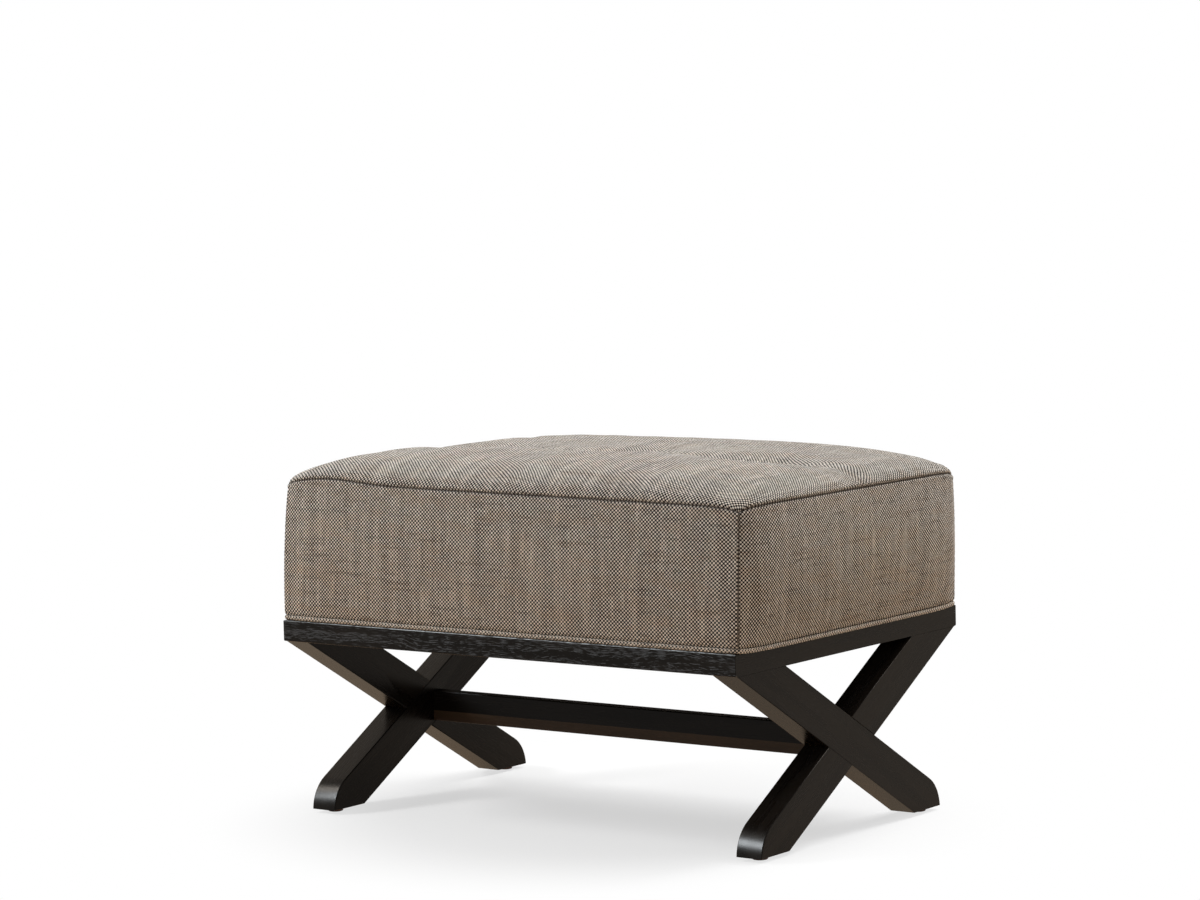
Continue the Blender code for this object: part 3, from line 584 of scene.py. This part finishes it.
def seam_height(share_x, share_y):
    """Height of the seam round the top, which isn't quite level."""
    hump = SEAM_HUMP * np.exp(-(((share_x * CORNER_X - SEAM_HUMP_AT) / SEAM_HUMP_REACH) ** 2))
    away = np.hypot(from_corner(share_x, CORNER_X), from_corner(share_y, CORNER_Y))
    level = SEAM_HEIGHT - SEAM_FALL * share_x + hump * np.clip(-share_y, 0, 1) ** 2
    return level - SEAM_CORNER_DIP * np.exp(-away / SEAM_CORNER_REACH)


def rounded(inside):
    """Rise of the stuffed top from its seam: steep at first, with a small round at the start."""
    start = CROWN_START**CROWN_EDGE
    return ((inside + CROWN_START) ** CROWN_EDGE - start) / ((1 + CROWN_START) ** CROWN_EDGE - start)


def crown(share_x, share_y):
    """Height of the stuffed top over its seam."""
    long_way = np.clip(1 - np.abs(share_x) ** CROWN_POWER_X, 0, 1)
    deep_way = np.clip(1 - np.abs(share_y) ** CROWN_POWER_Y, 0, 1)
    dome = rounded(long_way * deep_way)
    x, y = share_x * CORNER_X, share_y * CORNER_Y
    within = 1 - share_x**4
    rolls = FRONT_ROLL * np.exp(-(((y - FRONT_ROLL_AT) / ROLL_REACH) ** 2))
    rolls = rolls + BACK_ROLL * np.exp(-(((y - BACK_ROLL_AT) / ROLL_REACH) ** 2))
    dip = CHANNEL_DEPTH * np.exp(-((y / CHANNEL_REACH) ** 2)) * within
    for (tuft_x, tuft_y), depth in zip(TUFTS, TUFT_DEPTH):
        away = np.hypot(x - tuft_x, y - tuft_y)
        angle = np.arctan2(y - tuft_y, x - tuft_x)
        dip = dip + depth * np.exp(-((away / TUFT_REACH) ** 2))
        dip = dip + TUFT_PINCH * np.exp(-((away / TUFT_PINCH_REACH) ** 2))
        fold = np.exp(-(((away - TUFT_FOLD_AT) / TUFT_FOLD_REACH) ** 2))
        dip = dip + TUFT_FOLD_DEPTH * fold * np.cos(TUFT_FOLDS * angle + 9 * tuft_x)
    return (CROWN_HEIGHT + CROWN_TILT * share_x) * dome + rolls * within - dip * np.minimum(1, 3 * dome)


def border(nx, ny):
    """Indices round the border of a grid, anticlockwise from the front left corner, one array each way."""
    front = [(i, 0) for i in range(nx)]
    right = [(nx, j) for j in range(ny)]
    back = [(i, ny) for i in range(nx, 0, -1)]
    left = [(0, j) for j in range(ny, 0, -1)]
    return tuple(np.array(front + right + back + left).T)


def round_again(rows):
    """The rows of a ring, with the first one once more at its end."""
    return np.concatenate([rows, rows[:1]])


def run_along(points):
    """Running length along each row of a grid of points, from its first point."""
    steps = np.linalg.norm(np.diff(points, axis=1), axis=2)
    return np.concatenate([np.zeros((len(points), 1)), np.cumsum(steps, axis=1)], axis=1)


def outward(points):
    """Unit normals of a grid of points, to the left of its rows' direction seen along its columns'."""
    normal = np.cross(np.gradient(points, axis=0), np.gradient(points, axis=1))
    return normal / np.linalg.norm(normal, axis=2, keepdims=True)


def groove(away, depth=GROOVE_DEPTH):
    return -depth * np.exp(-((away / GROOVE_WIDTH) ** 2))


def rolled(away, rise):
    return rise * np.exp(-(((away - ROLL_AT) / ROLL_WIDTH) ** 2))


def puckers(run, away):
    """Small gathers that the sewing pulls up beside a seam."""
    wave = np.sin(2 * pi * run / PUCKER_PITCH + 1.7 * np.sin(run * 37) + 1.1 * np.sin(run * 71))
    return PUCKER_DEPTH * wave * np.exp(-away / PUCKER_REACH) * (1 - np.exp(-away / PUCKER_START))


def unevenness(first, second, seed, height, shortest, longest):
    """Soft unevenness under the cloth, as a few crossing swells."""
    draw = np.random.default_rng(seed)
    total = 0.0
    for _ in range(SWELLS):
        pitch = draw.uniform(shortest, longest)
        angle = draw.uniform(0, pi)
        start = draw.uniform(0, 2 * pi)
        total = total + np.sin((first * cos(angle) + second * sin(angle)) * 2 * pi / pitch + start)
    return height * total / SWELLS


class Cover:
    """Grids of points as one mesh, with the cloth's lay and the way to its nearest seam as maps."""

    def __init__(self):
        self.points = np.zeros((0, 3))
        self.faces = []
        self.maps = {"weave": [], "seams": []}

    def add(self, points):
        """Adds points, and gives back their numbers in the same layout."""
        first = len(self.points)
        self.points = np.concatenate([self.points, points.reshape(-1, 3)])
        return np.arange(first, len(self.points)).reshape(points.shape[:-1])

    def panel(self, index, lay, away):
        """Faces over a grid of point numbers, with the lay and the way to a seam at each point."""
        self.faces += self.cells(index).tolist()
        self.maps["weave"].append(self.cells(lay).reshape(-1, 2))
        seams = np.stack([away, np.zeros_like(away)], axis=-1)
        self.maps["seams"].append(self.cells(seams).reshape(-1, 2))

    @staticmethod
    def cells(grid):
        """The four corners of each cell of a grid, anticlockwise."""
        corners = np.stack([grid[:-1, :-1], grid[1:, :-1], grid[1:, 1:], grid[:-1, 1:]], axis=2)
        return corners.reshape(-1, 4, *grid.shape[2:])

    def close(self, index):
        """One flat face over a ring of points."""
        self.faces.append(index.tolist())
        for name in self.maps:
            self.maps[name].append(np.zeros((len(index), 2)))

    def make(self, name, cloth):
        mesh = bpy.data.meshes.new(name)
        mesh.from_pydata(self.points.tolist(), [], self.faces)
        for title, places in self.maps.items():
            layer = mesh.uv_layers.new(name=title)
            layer.uv.foreach_set("vector", np.concatenate(places).astype(np.float32).ravel())
        mesh.polygons.foreach_set("use_smooth", [len(face) == 4 for face in self.faces])
        mesh.materials.append(cloth)
        piece = bpy.data.objects.new(name, mesh)
        bpy.context.scene.collection.objects.link(piece)
        return piece


def cushion_shape(xs, ys, rises):
    """Points of the top panel and of the ring of side panels, and the top's border where they meet."""
    share_x, share_y = np.meshgrid(xs, ys, indexing="ij")
    top_x, top_y = plan(share_x, share_y, 1.0)
    top_z = seam_height(share_x, share_y) + crown(share_x, share_y)
    top = np.stack([top_x, top_y, top_z], axis=2)

    ring = border(len(xs) - 1, len(ys) - 1)
    ring_x, ring_y = xs[ring[0]], ys[ring[1]]
    low, high = bottom_height(ring_x, ring_y), seam_height(ring_x, ring_y)
    wall_x, wall_y = plan(ring_x[:, None], ring_y[:, None], rises[None, :])
    wall = np.stack([wall_x, wall_y, low[:, None] + (high - low)[:, None] * rises[None, :]], axis=2)
    wall[:, -1] = top[ring]
    return top, wall, ring


def between(values, at):
    """Values at places between the rows of a grid, on a smooth curve through them."""
    first = np.clip(at.astype(int), 0, len(values) - 2)
    near = [values[np.clip(first + step, 0, len(values) - 1)] for step in (-1, 0, 1, 2)]
    part = (at - first).reshape(-1, *[1] * (values.ndim - 1))
    turn = 2 * near[0] - 5 * near[1] + 4 * near[2] - near[3]
    bend = 3 * near[1] - near[0] - 3 * near[2] + near[3]
    return near[1] + 0.5 * part * (near[2] - near[0] + part * (turn + part * bend))


def inflated(trial, held):
    """Points of a closed cloth once the stuffing has pressed on it from inside, with some held still."""
    trial.vertex_groups.new(name="held").add(held, 1.0, "REPLACE")
    settings = trial.modifiers.new("cloth", "CLOTH").settings
    for setting, value in STUFFED_CLOTH.items():
        setattr(settings, setting, value)
    settings.tension_stiffness = STUFFED_CLOTH_STRETCH
    settings.compression_stiffness = STUFFED_CLOTH_STRETCH
    settings.vertex_group_mass = "held"
    settings.use_pressure = True
    settings.uniform_pressure_force = STUFFING_PRESSURE
    settings.effector_weights.gravity = 0
    for step in range(1, STUFFING_STEPS + 1):
        bpy.context.scene.frame_set(step)
    swollen = trial.evaluated_get(bpy.context.evaluated_depsgraph_get()).data
    points = np.empty(len(swollen.vertices) * 3, np.float32)
    swollen.vertices.foreach_get("co", points)
    bpy.context.scene.frame_set(1)
    mesh = trial.data
    bpy.data.objects.remove(trial)
    bpy.data.meshes.remove(mesh)
    return points.reshape(-1, 3).astype(float)


def stuffing_push(xs, ys, rises):
    """How far the stuffing pushes the cloth, by a simulation that holds it at its seams, hem and tufts."""
    nx, ny, nz = STUFFING_GRID
    even_x, even_y = np.linspace(-1, 1, nx + 1), np.linspace(-1, 1, ny + 1)
    top, wall, ring = cushion_shape(even_x, even_y, np.linspace(0, 1, nz + 1))
    cover = Cover()
    top_index = cover.add(top)
    rim = top_index[ring]
    wall_index = round_again(np.concatenate([cover.add(wall[:, :-1]), rim[:, None]], axis=1))
    for index in (top_index, wall_index):
        cover.panel(index, np.zeros((*index.shape, 2)), np.zeros(index.shape))
    cover.close(wall_index[-2::-1, 0])
    corners = np.array([0, nx, nx + ny, 2 * nx + ny])
    flat = cover.points[: top_index.size, :2]
    tied = [np.argmin(np.hypot(*(flat - tuft).T)) for tuft in TUFTS]
    held = np.unique(np.concatenate([rim, wall_index[:, 0], wall_index[corners].ravel(), tied]))
    push = inflated(cover.make("stuffing_trial", None), held.tolist()) - cover.points

    # No point goes further than the cap, and the push is read off between the coarse points
    push *= STUFFING_CAP / (STUFFING_CAP + np.linalg.norm(push, axis=1, keepdims=True))
    along_x, along_y, up = (xs + 1) / 2 * nx, (ys + 1) / 2 * ny, rises * nz
    top_push = between(push[top_index], along_x)
    top_push = between(top_push.transpose(1, 0, 2), along_y).transpose(1, 0, 2)
    front, right = along_x[:-1], nx + along_y[:-1]
    back, left = 2 * nx + ny - along_x[:0:-1], 2 * (nx + ny) - along_y[:0:-1]
    wall_push = between(push[wall_index], np.concatenate([front, right, back, left]))
    wall_push = between(wall_push.transpose(1, 0, 2), up).transpose(1, 0, 2)
    return top_push, wall_push


def stuffed_shape(xs, ys, rises):
    """The cushion's shape with its stuffing."""
    top, wall, ring = cushion_shape(xs, ys, rises)
    top_push, wall_push = stuffing_push(xs, ys, rises)
    top += top_push
    wall += wall_push
    wall[:, -1] = top[ring]
    return top, wall, ring


def sewn_top(top, xs, ys):
    """Relief of the top panel's sewing and lumps, the cloth's lay over it, and the way to its seams."""
    run_x = run_along(top.transpose(1, 0, 2)).T
    run_y = run_along(top)
    from_ends = np.minimum(run_x, run_x[-1:] - run_x)
    from_sides = np.minimum(run_y, run_y[:, -1:] - run_y)
    away = np.minimum(from_ends, from_sides)
    share_x, share_y = np.meshgrid(xs, ys, indexing="ij")
    from_corners = np.hypot(from_corner(share_x, CORNER_X), from_corner(share_y, CORNER_Y))
    off_corners = 1 - np.exp(-((from_corners / ROLL_FROM_CORNER) ** 2))
    relief = groove(away) + rolled(away, ROLL_RISE) * off_corners
    relief += puckers(run_x, from_sides) + puckers(run_y + END_PUCKER_SHIFT, from_ends)
    swell = unevenness(top[:, :, 0], top[:, :, 1], *TOP_SWELLS)
    relief += swell * np.minimum(1, away / TOP_SWELL_REACH)
    middle_x, middle_y = len(xs) // 2, len(ys) // 2
    lay = np.stack([run_x - run_x[middle_x], run_y - run_y[:, middle_y : middle_y + 1]], axis=2)
    return relief, lay, away


def sewn_sides(wall, corners):
    """Relief of the side panels' sewing and lumps, the length and height over them, the way to seams."""
    up = run_along(wall)
    down = up[:, -1:] - up
    run = run_along(round_again(wall).transpose(1, 0, 2)).T
    from_corners = np.min([np.abs(run - run[corner]) for corner in corners], axis=0)[:-1]
    relief = groove(down) + rolled(down, SIDE_ROLL * ROLL_RISE)
    corner_groove = groove(from_corners, CORNER_GROOVE * GROOVE_DEPTH)
    relief += corner_groove + rolled(from_corners, CORNER_ROLL * ROLL_RISE)
    relief -= HEM_TUCK * np.exp(-((up / HEM_TUCK_WIDTH) ** 2))
    relief += puckers(run[:-1], down) + HEM_PUCKERS * puckers(run[:-1] + HEM_PUCKER_SHIFT, up)
    relief += CORNER_PUCKERS * puckers(up, from_corners)
    away = np.minimum(down, from_corners)
    relief += unevenness(run[:-1], up, *SIDE_SWELLS) * np.minimum(1, away / SIDE_SWELL_REACH)
    return relief, run, round_again(up), round_again(away)


def make_cushion(cloth):
    """The stuffed cushion: a crowned top panel sewn to four side panels."""
    xs = shares_over_crown(CORNER_X, CROWN_POWER_X)
    ys = shares_over_crown(CORNER_Y, CROWN_POWER_Y)
    half_wall = 0.5 * (SEAM_HEIGHT - COVER_BOTTOM)
    rises = both_ways(graded(half_wall) / half_wall) * 0.5 + 0.5
    top, wall, ring = stuffed_shape(xs, ys, rises)
    nx, ny = len(xs) - 1, len(ys) - 1
    corners = [0, nx, nx + ny, 2 * nx + ny, 2 * (nx + ny)]
    top_relief, top_lay, top_away = sewn_top(top, xs, ys)
    side_relief, side_run, side_up, side_away = sewn_sides(wall, corners)

    # The relief goes along the normals, which the panels share at the seam round the top
    top_normal = outward(top)
    side_normal = outward(np.concatenate([wall[-1:], round_again(wall), wall[1:2]]))[1:-2]
    seam_normal = top_normal[ring] + side_normal[:, -1]
    top_normal[ring] = seam_normal / np.linalg.norm(seam_normal, axis=1, keepdims=True)
    top = top + top_normal * top_relief[:, :, None]
    wall = wall + side_normal * side_relief[:, :, None]

    cover = Cover()
    top_index = cover.add(top)
    cover.panel(top_index, top_lay, top_away)
    side_index = np.concatenate([cover.add(wall[:, :-1]), top_index[ring][:, None]], axis=1)
    side_index = round_again(side_index)
    for side in range(4):
        part = slice(corners[side], corners[side + 1] + 1)
        run = side_run[part]
        middle = run[len(run) // 2]
        lay = np.stack([run - middle + side * PANEL_SHIFT, side_up[part]], axis=2)
        cover.panel(side_index[part], lay, side_away[part])
    cover.close(side_index[-2::-1, 0])
    return cover.make("cushion", cloth)


def make_welt(cloth):
    """The covered cord round the bottom of the cushion, as a mesh tube."""
    shares = np.linspace(-1, 1, WELT_SIDE_CELLS + 1)
    ring = border(WELT_SIDE_CELLS, WELT_SIDE_CELLS)
    ring_x, ring_y = shares[ring[0]], shares[ring[1]]
    x, y = plan(ring_x, ring_y, 0.0)
    path = np.stack([x, y, bottom_height(ring_x, ring_y) - COVER_BOTTOM], axis=1)

    # Even steps along it, then a soft turn at each corner
    closed = round_again(path)
    run = np.append(0.0, np.cumsum(np.linalg.norm(np.diff(closed, axis=0), axis=1)))
    steps = int(run[-1] / WELT_STEP)
    even = np.linspace(0, run[-1], steps, endpoint=False)
    path = np.stack([np.interp(even, run, places) for places in closed.T], axis=1)
    reach = int(round(WELT_TURN / WELT_STEP))
    path = sum(np.roll(path, shift, axis=0) for shift in range(-reach, reach + 1)) / (2 * reach + 1)

    ahead = np.roll(path, -1, axis=0) - np.roll(path, 1, axis=0)
    ahead /= np.linalg.norm(ahead, axis=1, keepdims=True)
    out = np.stack([ahead[:, 1], -ahead[:, 0], np.zeros(steps)], axis=1)
    out /= np.linalg.norm(out, axis=1, keepdims=True)
    up = np.cross(out, ahead)
    path[:, 2] += RAIL_TOP + WELT_LIFT + WELT_RADIUS
    path += out * (WELT_PROUD - WELT_RADIUS)

    around = np.linspace(0, 2 * pi, WELT_SIDES + 1)
    thickness = 1 + WELT_UNEVEN * np.sin(even * 2 * pi / WELT_UNEVEN_PITCH + 2 * np.sin(even * 23))
    ring = np.cos(around)[None, :, None] * out[:, None] + np.sin(around)[None, :, None] * up[:, None]
    tube = path[:, None] + ring * (WELT_RADIUS * thickness)[:, None, None]

    cover = Cover()
    index = round_again(round_again(cover.add(tube[:, :-1]).T).T)
    length, girth = np.meshgrid(np.append(even, run[-1]), WELT_RADIUS * around, indexing="ij")
    cover.panel(index, np.stack([length, girth], axis=2), np.ones_like(length))
    return cover.make("welt_cord", cloth)


def make_dust_cover(cloth):
    """The thin black lining under the seat, stretched over the base and sagging a little."""
    low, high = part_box("dust_cover")
    shares = np.linspace(-1, 1, DUST_COVER_CELLS + 1)
    share_x, share_y = np.meshgrid(shares, shares, indexing="ij")
    x, y = share_x * high[0], share_y * high[1]
    inside = (1 - share_x**2) * (1 - share_y**2)
    sag = DUST_COVER_SAG * inside**2
    ripple = unevenness(x, y, *DUST_COVER_RIPPLE) * inside * (sag > RIPPLE_FROM_SAG)
    below = np.stack([x, y, low[2] - sag + ripple], axis=2)
    above = below + (0, 0, high[2] - low[2])
    cover = Cover()
    flat = np.stack([x, y], axis=2)
    bottom, top = cover.add(below), cover.add(above)
    cover.panel(top, flat, np.ones_like(x))
    cover.panel(bottom.T, flat.transpose(1, 0, 2), np.ones_like(x))
    ring = border(DUST_COVER_CELLS, DUST_COVER_CELLS)
    edge = round_again(np.stack([bottom[ring], top[ring]], axis=1))
    cover.panel(edge, np.zeros((*edge.shape, 2)), np.ones(edge.shape))
    return cover.make("dust_cover_cloth", cloth)


# Dressing the solids


def dress(names, material):
    """Gives these solids a finish of their own."""
    for name in names:
        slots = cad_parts[name].data.materials
        slots.clear()
        slots.append(material)


def finish_leg(name, oak):
    """A copy of a leg with the rounding of its toe sanded smooth."""
    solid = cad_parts[name].data
    mesh = bpy.data.meshes.new(f"{name}_sanded")
    sanded = bmesh.new()
    sanded.from_mesh(solid)
    bmesh.ops.remove_doubles(sanded, verts=sanded.verts, dist=1e-6)
    sanded.to_mesh(mesh)
    sanded.free()
    mesh.shade_smooth()
    mesh.set_sharp_from_angle(angle=TOE_SMOOTH)
    mesh.materials.clear()
    mesh.materials.append(oak)
    leg = bpy.data.objects.new(f"{name}_sanded", mesh)
    evener = leg.modifiers.new("even_sides", "WEIGHTED_NORMAL")
    evener.weight = 100
    evener.keep_sharp = True
    bpy.context.scene.collection.objects.link(leg)
    add_piece(leg, "dark_oak", name)


def dress_base():
    long_way, deep_way = (1, 0, 0), (0, 1, 0)
    fall = (0, cos(LEG_ANGLE), -sin(LEG_ANGLE))
    rise = (0, cos(LEG_ANGLE), sin(LEG_ANGLE))
    dress(["front_rail"], stained_oak("oak_front_rail", long_way, deep_way, 0.0, LONG_RAIL_GRAIN))
    dress(["back_rail"], stained_oak("oak_back_rail", long_way, deep_way, 3.1, LONG_RAIL_GRAIN))
    end_rails = stained_oak("oak_end_rails", deep_way, long_way, 6.2, END_RAIL_GRAIN)
    dress(["left_end_rail", "right_end_rail"], end_rails)
    for way, grain, seed in (("rear", fall, 9.3), ("front", rise, 12.4)):
        oak = stained_oak(f"oak_{way}_legs", grain, long_way, seed, LEG_GRAIN)
        for side in ("left", "right"):
            finish_leg(f"{side}_{way}_leg", oak)
    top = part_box("stretcher")[1][2]
    # The stretcher's lower part gets a painted reflection of the floor, and its top is rougher
    heights = {"painted_reflection_below": top - PAINTED_FLOOR_REFLECTION_DROP, "dusty_above": top}
    grain = (long_way, deep_way, 15.5, STRETCHER_GRAIN, STRETCHER_VARNISH)
    dress(["stretcher"], stained_oak("oak_stretcher", *grain, **heights))


def dress_small_parts():
    nodes = list(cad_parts)
    glides = [node for node in nodes if node.startswith("glide")]
    screws = [node for node in nodes if node.startswith("seat_screw")]
    boards = [node for node in nodes if node.endswith("board")]
    boards += [node for node in nodes if node.startswith(("corner_block", "seat_post"))]
    straps = [node for node in nodes if node.startswith(("webbing", "tuft_twine", "hessian"))]
    dress(glides, glide_plastic("glide_nylon"))
    dress(screws, zinc("zinc_plate"))
    dress(boards, plain_wood("sawn_pine"))
    dress(straps, thin_cloth("jute_webbing", JUTE, pitch=0.0024, depth=0.0004))


# Studio


def make_floor():
    """A plain white floor, which keeps a soft share of the shadows that fall on it near the object."""
    floor = Finish("white_floor", 0.9, 0.0)
    floor.wear(base_color=floor.tint(floor.is_ray("Camera"), FLOOR_BOUNCE, WHITE))
    away = floor.node("VectorMath", {"operation": "LENGTH"}, {0: floor.place()}, "Value")
    share = away.step(*FLOOR_FADE) * (1 - FLOOR_GLOW) + FLOOR_GLOW
    lit = Value(floor, floor.shader.outputs[0])
    glow = floor.node("Emission", {}, {"Color": WHITE, "Strength": 1.0})
    surface = floor.node("MixShader", {}, {0: floor.is_seen() * share, 1: lit, 2: glow})
    floor.set(floor.output.inputs["Surface"], surface)

    mesh = bpy.data.meshes.new("floor")
    corners = [(x * FLOOR_REACH, y * FLOOR_REACH, 0) for x, y in ((-1, -1), (1, -1), (1, 1), (-1, 1))]
    mesh.from_pydata(corners, [], [(0, 1, 2, 3)])
    mesh.materials.append(floor.material)
    plane = bpy.data.objects.new("floor", mesh)
    bpy.context.scene.collection.objects.link(plane)


def make_world():
    """Even light from all round, and a white background."""
    world = bpy.data.worlds.new("studio")
    bpy.context.scene.world = world
    studio = Nodes(world)
    room = studio.node("Background", {}, {"Color": WHITE, "Strength": ROOM_LIGHT})
    white = studio.node("Background", {}, {"Color": WHITE, "Strength": 1.0})
    surface = studio.node("MixShader", {}, {0: studio.is_seen(), 1: room, 2: white})
    studio.node("OutputWorld", {}, {"Surface": surface})


def make_lamp(name, place, target, size, power, colour=WHITE, only_shine=False):
    """A soft box that points at a place. One for shine alone shows only in glossy surfaces."""
    lamp = bpy.data.lights.new(name, "AREA")
    lamp.shape = "RECTANGLE"
    lamp.size, lamp.size_y = size
    lamp.energy = power
    lamp.color = colour
    obj = bpy.data.objects.new(name, lamp)
    obj.location = place
    obj.rotation_euler = (Vector(target) - Vector(place)).to_track_quat("-Z", "Y").to_euler()
    obj.visible_diffuse = not only_shine
    bpy.context.scene.collection.objects.link(obj)


def make_camera():
    """The camera at the photograph's place and angle."""
    flat = cos(CAMERA_ELEVATION)
    back = Vector((sin(CAMERA_AZIMUTH) * flat, -cos(CAMERA_AZIMUTH) * flat, sin(CAMERA_ELEVATION)))
    right = Vector((0, 0, 1)).cross(back).normalized()
    up = back.cross(right)
    turned_right = cos(CAMERA_ROLL) * right + sin(CAMERA_ROLL) * up
    turned_up = cos(CAMERA_ROLL) * up - sin(CAMERA_ROLL) * right
    camera = bpy.data.cameras.new("camera")
    camera.lens = CAMERA_LENS
    camera.sensor_width = 36.0
    camera.clip_start, camera.clip_end = 0.1, 100.0
    obj = bpy.data.objects.new("camera", camera)
    turn = Matrix((turned_right, turned_up, back)).transposed()
    obj.matrix_world = Matrix.Translation(CAMERA_PLACE) @ turn.to_4x4()
    bpy.context.scene.collection.objects.link(obj)
    bpy.context.scene.camera = obj


def add_piece(piece, slot, *replaced):
    """Hides the solids that a piece stands in for. Nothing on the ottoman moves, so every piece rides on
    its one body.
    """
    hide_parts(*replaced)
    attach(piece, "root")


def main():
    bpy.context.scene.view_settings.view_transform = "Standard"
    make_camera()
    make_world()
    make_floor()
    make_lamp("overhead", **OVERHEAD)
    make_lamp("key", **KEY)
    make_lamp("shine", **SHINE, colour=SHINE_COLOUR, only_shine=True)

    dress_base()
    dress_small_parts()
    cushion = make_cushion(woven_cloth("cover_weave", CLOTH_DARKNESS))
    sides = ("front", "right", "back", "left")
    panels = [f"{kind}_{side}" for kind in ("cover", "padding") for side in sides]
    add_piece(cushion, "cover_weave", "cover_top", "foam_block", *panels)
    add_piece(make_welt(woven_cloth("welt_weave", WELT_DARKNESS, sewn=False)), "cover_weave", "welt")
    lining = thin_cloth("black_lining", BLACK_LINING, pitch=0.0009, depth=0.0001)
    dust_cover = make_dust_cover(lining)
    add_piece(dust_cover, "black_lining", "dust_cover")


main()
